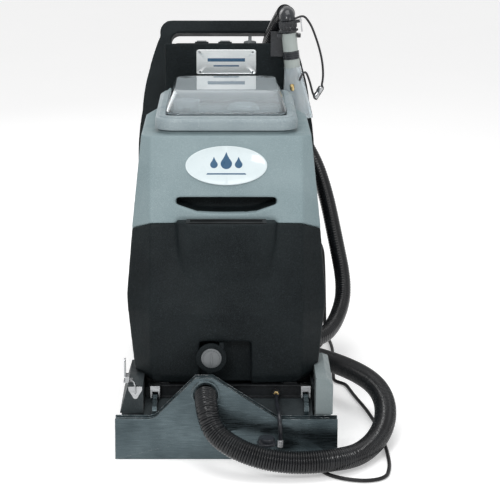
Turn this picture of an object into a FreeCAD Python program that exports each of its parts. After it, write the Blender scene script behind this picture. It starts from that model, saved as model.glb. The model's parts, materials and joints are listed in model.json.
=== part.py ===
import FreeCAD
import Part
import Sketcher
import math
import os
import re

# Self-contained carpet spot extractor, in millimetres.
# Frame: the origin is the middle of the vacuum shoe's floor lip, +X is the machine's right seen from
# the front, +Y runs back to the operator's handle and +Z is up.

# ---------------------------------------------------------------- driving dimensions
SIZES = {
    # vacuum shoe
    "shoe_half": 230, "shoe_lean": 8, "shoe_side_top": 85, "shoe_peak": 171, "plate": 4,
    "shoe_gap": 16, "outlet_x": -42.6, "outlet_up": 138, "collar_radius": 28.5, "cuff_radius": 23,
    # brush head
    "brush_y": 140, "brush_z": 51, "brush_radius": 50, "brush_core": 22, "brush_half": 166,
    "arch_radius": 55, "deck_left": -172, "deck_right": 180, "brush_pulley": 28,
    "shaft": 8, "running_gap": 0.05, "pulley_left": 193, "pulley_width": 14,
    "motor_y": 245, "motor_z": 78, "motor_radius": 45, "motor_length": 112, "motor_pulley": 16,
    "belt_thick": 3.5, "belt_gap": 0.4, "cover_left": 186, "cover_right": 222, "cover_top": 162,
    # tanks
    "skin": 4, "crease_half": 159, "tank_floor": 131, "break_z": 285, "break_y": 95,
    "bulge": 14, "seam_y": 155, "seam_z": 465, "seam_low_y": 400, "seam_low_z": 337,
    "tank_back": 560, "crown_z": 631, "crown_y": 245, "grey_back": 628,
    "spout_half": 104, "spout_front": 110, "spout_top": 473, "spout_low": 340,
    "lid_half": 153, "lid_front": 262, "lid_back": 618, "rim_low": 639, "rim_top": 664,
    "dome_top": 700, "dome_half": 131, "dome_top_half": 114,
    # rear housing and handle
    "base_half": 172, "base_front": 566, "base_back": 800, "base_floor": 100, "base_top": 336,
    "tower_half": 144, "tower_front": 665, "panel_front_z": 766, "panel_back_z": 712,
    "handle_depth": 36, "handle_lean": 25,
    # running gear
    "fan_y": 728, "wheel_radius": 120, "wheel_width": 44, "wheel_y": 700, "axle_radius": 10, "wheel_x": 208,
    "rail_low": 116, "rail_thick": 14,
    # hand tool
    "tool_x": 169, "tool_y": 642, "tool_z": 590, "tool_tilt": -6.55, "tube_radius": 17.5,
    # hoses
    "floor_hose": 23.5, "tool_hose": 19.5,
}

doc = FreeCAD.newDocument("spot_extractor")
sheet = doc.addObject("Spreadsheet::Sheet", "sizes")
for row, (alias, number) in enumerate(SIZES.items(), start=1):
    sheet.set("A%d" % row, alias)
    sheet.set("B%d" % row, str(number))
    sheet.setAlias("B%d" % row, alias)
doc.recompute()

WORD = re.compile(r"[A-Za-z_]\w*")
TOKEN = re.compile(r"[A-Za-z_]\w*|[0-9.]+|[-+*/()]")
STRAIGHT = 0.002  # radians: a corner that turns less than this needs no arc
TOUCHING = 0.0001  # millimetres: two points nearer than this are one
AXES = {
    "z": FreeCAD.Rotation(),
    "x": FreeCAD.Rotation(FreeCAD.Vector(0, 1, 0), 90),
    "y": FreeCAD.Rotation(FreeCAD.Vector(1, 0, 0), -90),
}


# ---------------------------------------------------------------- helpers
def size(alias):
    """A driving dimension, read back from the sheet."""
    return float(sheet.get(alias))


def amount(text):
    """Value of a formula of aliases, numbers, + - * / and brackets, such as '-(skin * 2 + 4)'."""
    words = TOKEN.findall(str(text))

    def read_factor():
        word = words.pop(0)
        if word == "-":
            return -read_factor()
        if word == "+":
            return read_factor()
        if word == "(":
            inner = read_sum()
            words.pop(0)
            return inner
        return size(word) if WORD.fullmatch(word) else float(word)

    def read_product():
        product = read_factor()
        while words and words[0] in "*/":
            product = product * read_factor() if words.pop(0) == "*" else product / read_factor()
        return product

    def read_sum():
        total = read_product()
        while words and words[0] in "+-":
            total += read_product() if words.pop(0) == "+" else -read_product()
        return total

    return read_sum()


def bind(thing, prop, text):
    """Tie a property to the sheet; a plain number stays a plain number."""
    thing.setExpression(prop, WORD.sub(lambda found: "sizes." + found.group(0), str(text)))


def place(thing, at, axis="z"):
    thing.Placement = FreeCAD.Placement(FreeCAD.Vector(*[amount(value) for value in at]), AXES[axis])
    for letter, value in zip("xyz", at):
        bind(thing, "Placement.Base." + letter, value)
    return thing


def box(name, low, high):
    """Box between two corners, each given as three sums."""
    thing = doc.addObject("Part::Box", name)
    for prop, start, stop in zip(("Length", "Width", "Height"), low, high):
        setattr(thing, prop, amount(stop) - amount(start))
        bind(thing, prop, "(%s) - (%s)" % (stop, start))
    return place(thing, low)


def rod(name, at, axis, radius, length):
    """Cylinder from a point along +x, +y or +z."""
    thing = doc.addObject("Part::Cylinder", name)
    bind(thing, "Radius", radius)
    bind(thing, "Height", length)
    return place(thing, at, axis)


def cone(name, at, axis, radius, end_radius, length):
    thing = doc.addObject("Part::Cone", name)
    bind(thing, "Radius1", radius)
    bind(thing, "Radius2", end_radius)
    bind(thing, "Height", length)
    return place(thing, at, axis)


def fuse(name, *shapes):
    thing = doc.addObject("Part::MultiFuse", name)
    thing.Shapes = list(shapes)
    thing.Refine = True
    return thing


def common(name, *shapes):
    thing = doc.addObject("Part::MultiCommon", name)
    thing.Shapes = list(shapes)
    return thing


def cut(name, base, *tools):
    thing = doc.addObject("Part::Cut", name)
    thing.Base = base
    thing.Tool = tools[0] if len(tools) == 1 else fuse(name + "_tools", *tools)
    return thing


def group(name, *shapes):
    """Several separate solids in one node."""
    thing = doc.addObject("Part::Compound", name)
    thing.Links = list(shapes)
    return thing


PLANES = {
    "XY": ("XY_Plane", "z", 1, FreeCAD.Rotation()),
    "XZ": ("XZ_Plane", "y", -1, FreeCAD.Rotation(FreeCAD.Vector(1, 0, 0), 90)),
    "YZ": ("YZ_Plane", "x", 1, FreeCAD.Rotation(FreeCAD.Vector(1, 1, 1), 120)),
}


def outline(name, points, plane="XY", offset="0", body=None):
    """Closed sketch on a plane at an offset. A point is (first, second), or (first, second, bulge):
    with a bulge, the edge to the next point is an arc standing out to its right by that much, or
    hollowed to its left where the bulge is negative."""
    role, letter, facing, turn = PLANES[plane]
    if body is None:
        sketch = doc.addObject("Sketcher::SketchObject", name)
        sketch.Placement = FreeCAD.Placement(FreeCAD.Vector(), turn)
        bind(sketch, "Placement.Base." + letter, offset)
    else:
        sketch = body.newObject("Sketcher::SketchObject", name)
        origin_plane = [item for item in body.Origin.OriginFeatures if item.Role == role][0]
        sketch.AttachmentSupport = [(origin_plane, "")]
        sketch.MapMode = "FlatFace"
        bind(sketch, "AttachmentOffset.Base.z", "(%s) * %d" % (offset, facing))
    spots = [FreeCAD.Vector(amount(point[0]), amount(point[1]), 0) for point in points]
    after = spots[1:] + spots[:1]
    for point, start, stop in zip(points, spots, after):
        if len(point) == 2:
            sketch.addGeometry(Part.LineSegment(start, stop), False)
            continue
        along = stop - start
        outward = FreeCAD.Vector(along.y, -along.x, 0).normalize()
        middle = (start + stop) * 0.5 + outward * amount(point[2])
        ends = (start, stop) if amount(point[2]) > 0 else (stop, start)
        sketch.addGeometry(Part.Arc(ends[0], middle, ends[1]), False)
    first_end = []
    for index, start in enumerate(spots):
        forward = (sketch.Geometry[index].StartPoint - start).Length < 1e-6
        first_end.append(1 if forward else 2)
    for index, point in enumerate(points):
        before = (index - 1) % len(points)
        sketch.addConstraint(
            Sketcher.Constraint("Coincident", before, 3 - first_end[before], index, first_end[index])
        )
        for kind, value, line in (("DistanceX", point[0], -2), ("DistanceY", point[1], -1)):
            if abs(amount(value)) < 1e-9:
                sketch.addConstraint(Sketcher.Constraint("PointOnObject", index, first_end[index], line))
                continue
            made = sketch.addConstraint(
                Sketcher.Constraint(kind, -1, 1, index, first_end[index], amount(value))
            )
            if WORD.search(str(value)):
                bind(sketch, "Constraints[%d]" % made, value)
    return sketch


def slab(name, points, plane, start, stop):
    """An outline pushed from one offset to another along its plane's own axis."""
    thing = doc.addObject("Part::Extrusion", name)
    thing.Base = outline(name + "_outline", points, plane, start)
    thing.DirMode = "Custom"
    thing.Dir = {"XY": (0, 0, 1), "XZ": (0, 1, 0), "YZ": (1, 0, 0)}[plane]
    bind(thing, "LengthFwd", "(%s) - (%s)" % (stop, start))
    thing.Solid = True
    return thing


def padded(name, points, plane, start, stop, fillet=0.0):
    """The same as a PartDesign body, with its edges along the push rounded if asked."""
    body = doc.addObject("PartDesign::Body", name)
    pad = body.newObject("PartDesign::Pad", name + "_pad")
    facing = PLANES[plane][2]
    pad.Profile = outline(name + "_outline", points, plane, start, body)
    bind(pad, "Length", "(%s) - (%s)" % (stop, start))
    pad.Reversed = facing < 0
    if fillet:
        doc.recompute()
        direction = {"XY": (0, 0, 1), "XZ": (0, 1, 0), "YZ": (1, 0, 0)}[plane]
        names = edges_along(pad.Shape, direction)
        rounded = body.newObject("PartDesign::Fillet", name + "_fillet")
        rounded.Base = (pad, names)
        rounded.Radius = fillet
        body.Tip = rounded
    return body


def edges_along(shape, direction):
    """Names of the straight edges parallel to a direction."""
    wanted = FreeCAD.Vector(*direction)
    names = []
    for number, edge in enumerate(shape.Edges, start=1):
        if edge.Curve.TypeId != "Part::GeomLine":
            continue
        if abs(abs(edge.tangentAt(edge.FirstParameter).dot(wanted)) - 1) < 1e-4:
            names.append("Edge%d" % number)
    return names


def loft(name, *sections):
    thing = doc.addObject("Part::Loft", name)
    thing.Sections = list(sections)
    thing.Solid = True
    thing.Ruled = True
    return thing


def turned(name, points, at, axis="x"):
    """PartDesign revolution: points are (distance along the axle, radius), placed at a point."""
    body = doc.addObject("PartDesign::Body", name)
    sketch = outline(name + "_profile", points, "XY", "0", body)
    spin = body.newObject("PartDesign::Revolution", name + "_turn")
    spin.Profile = sketch
    spin.ReferenceAxis = (sketch, ["H_Axis"])
    spin.Angle = 360
    turn = {
        "x": FreeCAD.Rotation(),
        "y": FreeCAD.Rotation(FreeCAD.Vector(0, 0, 1), 90),
        "z": FreeCAD.Rotation(FreeCAD.Vector(0, 1, 0), -90),
    }[axis]
    body.Placement = FreeCAD.Placement(FreeCAD.Vector(), turn)
    for letter, value in zip("xyz", at):
        bind(body, "Placement.Base." + letter, value)
    return body


def made(name, shape):
    """A node whose shape comes from Part's own functions."""
    thing = doc.addObject("Part::Feature", name)
    thing.Shape = shape
    return thing


def spine(name, route, radius):
    """Straight runs through a route, joined at each corner by the widest tangent arc that fits."""
    corners = [FreeCAD.Vector(*point) for point in route]
    runs = []
    last = corners[0]
    for before, corner, after in zip(corners, corners[1:], corners[2:]):
        back = before - corner
        ahead = after - corner
        reach = min(back.Length, ahead.Length) / 2
        back.normalize()
        ahead.normalize()
        turn = math.pi - back.getAngle(ahead)
        if turn < STRAIGHT:
            continue
        if reach / math.tan(turn / 2) <= radius:
            raise ValueError("%s is bent more tightly than its own radius" % name)
        inward = back + ahead
        inward.normalize()
        start = corner + back * reach
        end = corner + ahead * reach
        if (start - last).Length > TOUCHING:
            runs.append(Part.LineSegment(last, start).toShape())
        middle = corner + inward * (reach * math.tan(turn / 4))
        runs.append(Part.Arc(start, middle, end).toShape())
        last = end
    runs.append(Part.LineSegment(last, corners[-1]).toShape())
    return Part.Wire(runs)


def hose(name, route, radius, bore=0.0):
    """A round hose along a route, square to it at both ends."""
    start = FreeCAD.Vector(*route[0])
    facing = FreeCAD.Vector(*route[1]) - start
    skins = []
    for size_now in (radius, bore):
        if size_now:
            ring = Part.Wire([Part.makeCircle(size_now, start, facing)])
            skins.append(spine(name, route, radius).makePipeShell([ring], True, False))
    solid = skins[0]
    if bore:
        solid = solid.cut(skins[1])
    return made(name, solid)


# ---------------------------------------------------------------- chassis and brush head
def chassis():
    rails = [
        box("rail_" + side, (low, "104", "rail_low"), (high, "base_front", "rail_low + rail_thick"))
        for side, low, high in (("left", "-150", "-120"), ("right", "120", "150"))
    ]
    ties = [
        box("tie_%d" % number, ("-150", front, "rail_low"), ("150", back, "rail_low + rail_thick"))
        for number, (front, back) in enumerate((("345", "405"), ("530", "base_front")))
    ]
    ring = cut(
        "strap_ring",
        rod("strap_outer", ("40", "motor_y", "motor_z"), "x", "motor_radius + 3", "24"),
        rod("strap_inner", ("38", "motor_y", "motor_z"), "x", "motor_radius", "28"),
    )
    foot = box("strap_foot", ("40", "motor_y + 30", "112"), ("64", "375", "rail_low"))
    fuse("chassis_frame", ring, foot, *rails, *ties)
    web = box("crossbar_web", ("-162", "101", "98"), ("177", "104", "127"))
    lips = [
        box("crossbar_lip_%d" % level, ("-162", "95", str(level)), ("177", "101", str(level + 3)))
        for level in (98, 124)
    ]
    hole = rod("crossbar_hole", ("105", "90", "112"), "y", "5", "20")
    cut("front_crossbar", fuse("crossbar_channel", web, *lips), hole)


def brush_head():
    roof = [("40", "76"), ("78", "86"), ("78", "brush_z"), ("196.5", "brush_z"), ("196.5", "113"),
            ("120", "113"), ("106", "97"), ("94", "97"), ("40", "80")]
    arch = rod("deck_arch", ("deck_left", "brush_y", "brush_z"), "x", "arch_radius",
               "deck_right - deck_left")
    roofing = cut("deck_arched", slab("deck_roof", roof, "YZ", "deck_left", "deck_right"), arch)

    side = [("95", "20"), ("200", "20"), ("200", "146"), ("45", "146"), ("45", "84"), ("95", "84")]
    block = slab("left_block", side, "YZ", "-222", "-173")
    front = [("-223", "10"), ("-173", "10"), ("-173", "146"), ("-204", "146"), ("-222", "84")]
    face = slab("left_face", front, "XZ", "40", "205")
    room = box("left_room", ("-173 - 12", "100", "24"), ("-173 + 1", "195", "141"))
    boss = rod("left_boss", ("-185", "brush_y", "brush_z"), "x", "18", "10")
    bore = rod("left_bore", ("-200", "brush_y", "brush_z"), "x", "shaft + 3", "40")
    casing = cut("left_shell", common("left_casing", block, face), room)
    cut("left_end_housing", fuse("left_cast", casing, boss), bore)

    plate = slab(
        "drive_plate_blank",
        [("100", "18"), ("284", "18"), ("284", "112"), ("200", "130"), ("100", "130")],
        "YZ", "deck_right", "deck_right + 5",
    )
    holes = [
        rod("drive_hole_%s" % name, ("deck_right", y, z), "x", radius, "8")
        for name, y, z, radius in (
            ("brush", "brush_y", "brush_z", "shaft + 3"), ("motor", "motor_y", "motor_z", "6.5"))
    ]
    fuse("brush_deck", roofing, cut("drive_side_plate", plate, *holes))

    inner = "cover_right - 3"
    hood_side = [("45", "80"), ("95", "80"), ("95", "12"), ("290", "12"), ("290", "118"),
                 ("200", "cover_top"), ("45", "cover_top")]
    hood_front = [("cover_left", "8"), ("cover_right", "8"), ("cover_right", "146"),
                  ("208", "cover_top"), ("cover_left", "cover_top")]
    hood = common(
        "hood_outer",
        slab("hood_side", hood_side, "YZ", "cover_left", "cover_right"),
        slab("hood_front", hood_front, "XZ", "40", "295"),
    )
    room_side = [("98", "15"), ("287", "15"), ("287", "116"), ("199", "142"), ("98", "142")]
    room = slab("hood_room", room_side, "YZ", "cover_left - 1", inner)
    cut("belt_cover", hood, room)

    keeper = [("-203", "143"), ("-203", "135"), ("-194", "120", "4"), ("-184", "120"),
              ("-175", "135"), ("-175", "143")]
    blade = slab("keeper_blade", keeper, "XZ", "43", "45")
    hook = fuse("latch_keeper", blade, rod("keeper_rivet", ("-189", "40.5", "128"), "y", "3.4", "3"))
    group("latch_plates", hook, latch_base())


def brush():
    core = rod("core_barrel", ("-brush_half", "brush_y", "brush_z"), "x", "brush_core",
               "brush_half * 2 + 10")
    shaft = rod("core_shaft", ("-199", "brush_y", "brush_z"), "x", "shaft", "199 + 206")
    fuse("brush_core", core, shaft)
    tuft = rod("tuft_outer", ("-brush_half", "brush_y", "brush_z"), "x", "brush_radius",
               "brush_half * 2 + 6")
    heart = rod("tuft_inner", ("-brush_half - 1", "brush_y", "brush_z"), "x", "brush_core",
                "brush_half * 2 + 10")
    cut("brush_bristles", tuft, heart)
    wheel = [("0", "shaft"), ("pulley_width", "shaft"), ("pulley_width", "brush_pulley"),
             ("0", "brush_pulley")]
    turned("brush_pulley_wheel", wheel, ("pulley_left", "brush_y", "brush_z"))
    bearing = [("0", "shaft + running_gap"), ("8", "shaft + running_gap"), ("8", "shaft + 3"),
               ("0", "shaft + 3")]
    group("brush_bearings", *[
        turned("brush_bearing_" + side, bearing, (x, "brush_y", "brush_z"))
        for side, x in (("left", "-183"), ("right", "deck_right - 2.5"))
    ])


def belt_shape(radius_change):
    """Area inside the loop around both pulleys, grown by radius_change, across the belt's width."""
    left = size("pulley_left") + 1
    width = size("pulley_width") - 2
    near = FreeCAD.Vector(left, size("brush_y"), size("brush_z"))
    far = FreeCAD.Vector(left, size("motor_y"), size("motor_z"))
    radius_near = size("brush_pulley") + radius_change
    radius_far = size("motor_pulley") + radius_change
    span = far - near
    lean = math.acos((radius_near - radius_far) / span.Length)
    heading = math.atan2(span.z, span.y)
    corners = []
    for middle, radius, turn in ((near, radius_near, 1), (near, radius_near, -1),
                                 (far, radius_far, -1), (far, radius_far, 1)):
        angle = heading + turn * lean
        corners.append(middle + FreeCAD.Vector(0, math.cos(angle), math.sin(angle)) * radius)
    face = Part.Face(Part.makePolygon(corners + corners[:1]))
    along = FreeCAD.Vector(1, 0, 0)
    middle_block = face.extrude(along * width)
    near_end = Part.makeCylinder(radius_near, width, near, along)
    far_end = Part.makeCylinder(radius_far, width, far, along)
    return middle_block.fuse([near_end, far_end]).removeSplitter()


def drive():
    barrel = rod("motor_barrel", ("0", "motor_y", "motor_z"), "x", "motor_radius", "motor_length")
    nose = rod("motor_nose", ("motor_length", "motor_y", "motor_z"), "x", "24",
               "deck_right - motor_length")
    throat = rod("motor_throat", ("20", "motor_y", "motor_z"), "x", "6 + running_gap", "170")
    cut("brush_motor", fuse("motor_body", barrel, nose), throat)
    spindle = rod("motor_spindle", ("24", "motor_y", "motor_z"), "x", "6", "pulley_left + 14 - 24")
    wheel = rod("motor_pulley_disc", ("pulley_left", "motor_y", "motor_z"), "x", "motor_pulley",
                "pulley_width")
    fuse("motor_pulley_wheel", spindle, wheel)
    loop = belt_shape(size("belt_gap") + size("belt_thick")).cut(belt_shape(size("belt_gap")))
    made("drive_belt", loop)


# ---------------------------------------------------------------- vacuum shoe
def shoe_profile(grow, inset):
    """Front view of a shoe plate: flat sides, a hollow left flank, a straight right flank and a flat
    peak over the outlet. grow lifts the top edge and inset draws every edge in."""
    top = "%s - %s" % (grow, inset)
    return [
        ("-shoe_half + %s" % inset, "-6"),
        ("shoe_half - %s" % inset, "-6"),
        ("shoe_half - %s" % inset, "shoe_side_top + %s" % top),
        ("107 - %s * 0.3" % inset, "shoe_side_top + %s" % top),
        ("-27 - %s * 0.4" % inset, "shoe_peak + %s" % top),
        ("-64 + %s * 0.4" % inset, "shoe_peak + %s" % top),
        ("-137 + %s * 0.4" % inset, "99 + %s" % top, "-5"),
        ("-168 + %s * 0.3" % inset, "shoe_side_top + 1 + %s" % top),
        ("-shoe_half + %s" % inset, "shoe_side_top + 1 + %s" % top),
    ]


def leaned(thing):
    """Lean a shoe piece back about the floor lip, whose middle is half a plate behind its front."""
    tilt = FreeCAD.Rotation(FreeCAD.Vector(-1, 0, 0), size("shoe_lean"))
    thing.Placement = FreeCAD.Placement(FreeCAD.Vector(0, -size("plate") / 2, 0), tilt)
    return thing


def shoe():
    port = rod("port_tool", ("outlet_x", "-1", "outlet_up"), "y", "cuff_radius - 4", "plate + 2")
    front = slab("front_blank", shoe_profile("0", "0"), "XZ", "0", "plate")
    flange = rod("collar_flange", ("outlet_x", "-7", "outlet_up"), "y", "collar_radius", "7")
    bore = rod("collar_bore", ("outlet_x", "-8", "outlet_up"), "y", "cuff_radius + 2", "8")
    face = leaned(fuse("front_upright", cut("front_cut", front, port), cut("collar", flange, bore)))
    ground = box("shoe_ground", ("-300", "-50", "-20"), ("300", "100", "0"))
    cut("shoe_front_plate", face, ground)
    back = "plate + shoe_gap"
    rear = slab("rear_blank", shoe_profile("3", "0"), "XZ", back, back + " + plate")
    ring = slab("spacer_blank", shoe_profile("0", "2"), "XZ", "plate", back)
    window = slab("spacer_window", shoe_profile("0", "12"), "XZ", "plate - 1", back + " + 1")
    mouth = box("spacer_mouth", ("-shoe_half + 14", "plate - 1", "-8"),
                ("shoe_half - 14", back + " + 1", "30"))
    shell = leaned(fuse("rear_upright", rear, cut("shoe_spacer", ring, window, mouth)))
    cut("shoe_rear_shell", shell, ground)
    route = [(-42.6, 13.4, 137.3), (-42.6, -1, 137.3), (-41.5, -15, 131), (-40, -26, 119),
             (-38.5, -33, 107.5)]
    hose("hose_cuff", route, size("cuff_radius"), size("cuff_radius") - 4)
    arms = []
    for number, middle in enumerate((-149.5, 167)):
        profile = [("34.4", "72"), ("37.5", "72"), ("37.5", "84"), ("42", "88"), ("88", "101"),
                   ("94", "105"), ("94", "113"), ("88", "116"), ("80", "113"), ("42", "99"),
                   ("36.1", "92"), ("36.1", "84")]
        low = "%s - 5" % middle
        blade = slab("arm_blade_%d" % number, profile, "YZ", low, "%s + 5" % middle)
        eye = rod("arm_eye_%d" % number, ("%s - 6" % middle, "88", "109"), "x",
                  "3 + running_gap", "12")
        arms.append(cut("arm_%d" % number, blade, eye))
    group("shoe_arms", *arms)


def hangers():
    """Stamped clips on the crossbar, each with ears that hold a shoe arm's pivot."""
    clips = []
    for number, middle in enumerate((-149.5, 167)):
        top = box("clip_top_%d" % number, ("%s - 10" % middle, "84", "127"),
                  ("%s + 10" % middle, "104", "130"))
        front = box("clip_front_%d" % number, ("%s - 10" % middle, "80", "117.5"),
                    ("%s + 10" % middle, "84", "130"))
        ears = [
            box("clip_ear_%d_%s" % (number, side), ("%s + %s" % (middle, low), "80", "103"),
                ("%s + %s" % (middle, high), "94.5", "127.5"))
            for side, low, high in (("left", "-10", "-6"), ("right", "6", "10"))
        ]
        pin = rod("clip_pin_%d" % number, ("%s - 10" % middle, "88", "109"), "x", "3", "20")
        clips.append(fuse("clip_%d" % number, top, front, pin, *ears))
    group("shoe_hangers", *clips)


# ---------------------------------------------------------------- tanks
def plan(name, level, crease, front, corner, corner_y, side_end, tail, back, bulge):
    """Plan section of a tank: a front edge between two creases, corner facets, sides and a rear
    edge with cut corners."""
    start = ("-(%s)" % crease, front) if bulge == "0" else ("-(%s)" % crease, front, bulge)
    return outline(name, [
        start, (crease, front), (corner, corner_y), (corner, side_end), (tail, back),
        ("-(%s)" % tail, back), ("-(%s)" % corner, side_end), ("-(%s)" % corner, corner_y),
    ], "XY", level)


def tank_block(name, sections, skin):
    """Ruled loft through plan sections, drawn in on every side by the skin's thickness."""
    drawn = []
    last = len(sections) - 1
    for number, (level, crease, front, corner, corner_y, side_end, tail, back, bulge) in enumerate(sections):
        height = level
        if skin:
            height += {0: " + %d" % skin, last: " - %d" % skin}.get(number, "")
        drawn.append(plan(
            "%s_section_%d" % (name, number), height, "%s - %s" % (crease, skin * 0.4),
            "%s + %s" % (front, skin), "%s - %s" % (corner, skin), "%s + %s" % (corner_y, skin * 0.6),
            side_end, "%s - %s" % (tail, skin), "%s - %s" % (back, skin), bulge))
    return loft(name, *drawn)


def seam(name, drop, above):
    """Everything above or below the line where the two tanks meet, moved down by drop."""
    edge = [("seam_y", "seam_z - %s" % drop), ("seam_low_y", "seam_low_z - %s" % drop),
            ("900", "seam_low_z - %s" % drop)]
    far = "900" if above else "0"
    points = [("0", "seam_z - %s" % drop)] + edge + [("900", far), ("0", far)]
    return slab(name, points, "YZ", "-300", "300")


def rounded(name, half, front, back, radius, level):
    """Rounded rectangle across the machine, symmetric about its middle plane."""
    bulge = "%s * 0.2929" % radius
    inner = "%s - %s" % (half, radius)
    return outline(name, [
        ("-(%s)" % inner, front), (inner, front, bulge), (half, "%s + %s" % (front, radius)),
        (half, "%s - %s" % (back, radius), bulge), (inner, back), ("-(%s)" % inner, back, bulge),
        ("-(%s)" % half, "%s - %s" % (back, radius)), ("-(%s)" % half, "%s + %s" % (front, radius), bulge),
    ], "XY", level)


def rounded_block(name, half, front, back, radius, low, high):
    thing = doc.addObject("Part::Extrusion", name)
    thing.Base = rounded(name + "_outline", half, front, back, radius, low)
    thing.DirMode = "Custom"
    thing.Dir = (0, 0, 1)
    bind(thing, "LengthFwd", "(%s) - (%s)" % (high, low))
    thing.Solid = True
    return thing


SOLUTION_SECTIONS = [
    ("tank_floor", "150", "break_y + 8", "170", "130", "500", "150", "tank_back - 10", "bulge - 5"),
    ("tank_floor + 20", "crease_half", "break_y", "194", "128", "515", "168", "tank_back", "bulge - 2"),
    ("break_z", "crease_half", "break_y", "208", "140", "515", "175", "tank_back", "bulge"),
    ("break_z + 25", "crease_half", "break_y + 8.3", "210", "150", "515", "178", "tank_back", "bulge - 2"),
    ("seam_z + 5", "crease_half", "seam_y + 1.7", "197", "201", "515", "178", "tank_back", "3"),
]
RECOVERY_SECTIONS = [
    ("seam_low_z - 2", "crease_half + 1", "84.6", "211", "165", "520", "120", "grey_back - 8", "0"),
    ("crown_z", "crease_half + 1", "crown_y", "181", "crown_y + 18", "490", "146", "grey_back - 11", "0"),
]


def solution_tank():
    outer = cut("solution_outer", tank_block("solution_block", SOLUTION_SECTIONS, 0),
                seam("solution_top", "1", True))
    hollow = cut(
        "solution_hollow", tank_block("solution_core", SOLUTION_SECTIONS, 4),
        seam("solution_ceiling", "6", True),
        box("sump_wall", ("-64", "80", "120"), ("60", "113", "236")),
        box("cover_wall", ("180", "30", "120"), ("240", "304", "168")),
        box("end_wall", ("-240", "30", "120"), ("-167", "206", "152")))
    lip = [("-spout_half", "150", "14"), ("-62", "spout_front + 1", "3"), ("62", "spout_front + 1", "14"),
           ("spout_half", "150"), ("spout_half", "153.5"), ("-spout_half", "153.5")]
    spout = slab("spout_block", lip, "XY", "spout_low", "spout_top")
    slot = box("spout_slot", ("-79", "122", "372"), ("79", "146", "spout_top + 1"))
    sump = box("sump_pocket", ("-56", "70", "120"), ("52", "108", "228"))
    drain = rod("sump_drain", ("-31", "100", "198"), "y", "20", "30")
    cover_notch = box("cover_notch", ("184.5", "30", "110"), ("240", "300", "164"))
    end_notch = box("end_notch", ("-240", "30", "110"), ("-171.5", "202", "148"))
    body = fuse("solution_walls", cut("solution_skin", outer, hollow), spout)
    cut("solution_tank", body, slot, sump, drain, cover_notch, end_notch)
    basket = fuse("strainer_outer", box("strainer_cup", ("-77", "124", "410"), ("77", "144", "473")),
                  box("strainer_rim", ("-83", "118.5", "spout_top"), ("83", "149.5", "475")))
    cut("fill_strainer", basket, box("strainer_room", ("-75", "126", "412"), ("75", "142", "476")))


def drain():
    neck = rod("drain_neck", ("-31", "70", "198"), "y", "23", "37.9")
    ring = rod("drain_ring", ("-31", "64", "198"), "y", "31", "7")
    tabs = [box("drain_tab_top", ("-14", "64.5", "218"), ("-5", "70", "231")),
            box("drain_tab_foot", ("-40", "64.5", "164"), ("-31", "70", "170"))]
    bore = rod("drain_bore", ("-31", "60", "198"), "y", "21 + running_gap", "60")
    cut("drain_flange", fuse("drain_body", neck, ring, *tabs), bore)
    plug = rod("cap_plug", ("-31", "63", "198"), "y", "21", "24")
    face = rod("cap_face", ("-31", "59", "198"), "y", "17.5", "4")
    grip = box("cap_grip", ("-33", "56", "184"), ("-29", "59", "212"))
    fuse("drain_cap", plug, face, grip)


def recovery_tank():
    outer = cut("recovery_outer", tank_block("recovery_block", RECOVERY_SECTIONS, 0),
                seam("recovery_bottom", "0", False))
    hollow = cut("recovery_hollow", tank_block("recovery_core", RECOVERY_SECTIONS, 4),
                 seam("recovery_floor", "-5", False),
                 box("grip_wall", ("-111", "100", "440"), ("111", "226", "518")))
    neck = rounded_block("neck_outer", "lid_half - 7", "lid_front + 7", "lid_back - 7", "38",
                         "crown_z - 1", "crown_z + 6")
    mouth = rounded_block("neck_mouth", "124", "292", "596", "30", "crown_z - 6", "crown_z + 8")
    grip_front = [("-106", "500"), ("-60", "484", "2"), ("60", "484"), ("106", "500"),
                  ("106", "509"), ("102", "513"), ("-102", "513"), ("-106", "509")]
    grip = slab("grip_pocket", grip_front, "XZ", "100", "221")
    ledge = box("grip_ledge", ("-106", "100", "460"), ("106", "161", "485"))
    riser = slab("tank_riser", [("-150", "crown_z - 3"), ("-124", "crown_z - 3"), ("-124", "668"),
                                ("-132", "668"), ("-150", "646")], "XZ", "grey_back - 11", "grey_back")
    foot = box("riser_foot", ("-150", "grey_back - 14", "crown_z - 20"),
               ("-124", "grey_back", "crown_z + 4"))
    outlet = rod("tank_outlet", ("0", "600", "575"), "y", "26", "60")
    inlet = rod("tank_inlet", ("110", "560", "575"), "y", "19", "80")
    body = fuse("recovery_walls", cut("recovery_skin", outer, hollow), neck, foot, riser)
    cut("recovery_tank", body, mouth, grip, ledge, outlet, inlet)


def badge():
    """Oval plate lying on the sloped front of the recovery tank."""
    rise = size("crown_z") - size("seam_z")
    run = size("crown_y") - size("seam_y")
    slope = math.degrees(math.atan2(rise, run))
    share = 0.655
    oval = Part.Face(Part.Wire([Part.Ellipse(FreeCAD.Vector(), 86, 43).toShape()]))
    thing = made("badge_plate", oval.extrude(FreeCAD.Vector(0, 0, 2)))
    spot = FreeCAD.Vector(0, size("seam_y") + run * share, size("seam_z") + rise * share)
    thing.Placement = FreeCAD.Placement(spot, FreeCAD.Rotation(FreeCAD.Vector(1, 0, 0), slope))


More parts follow.
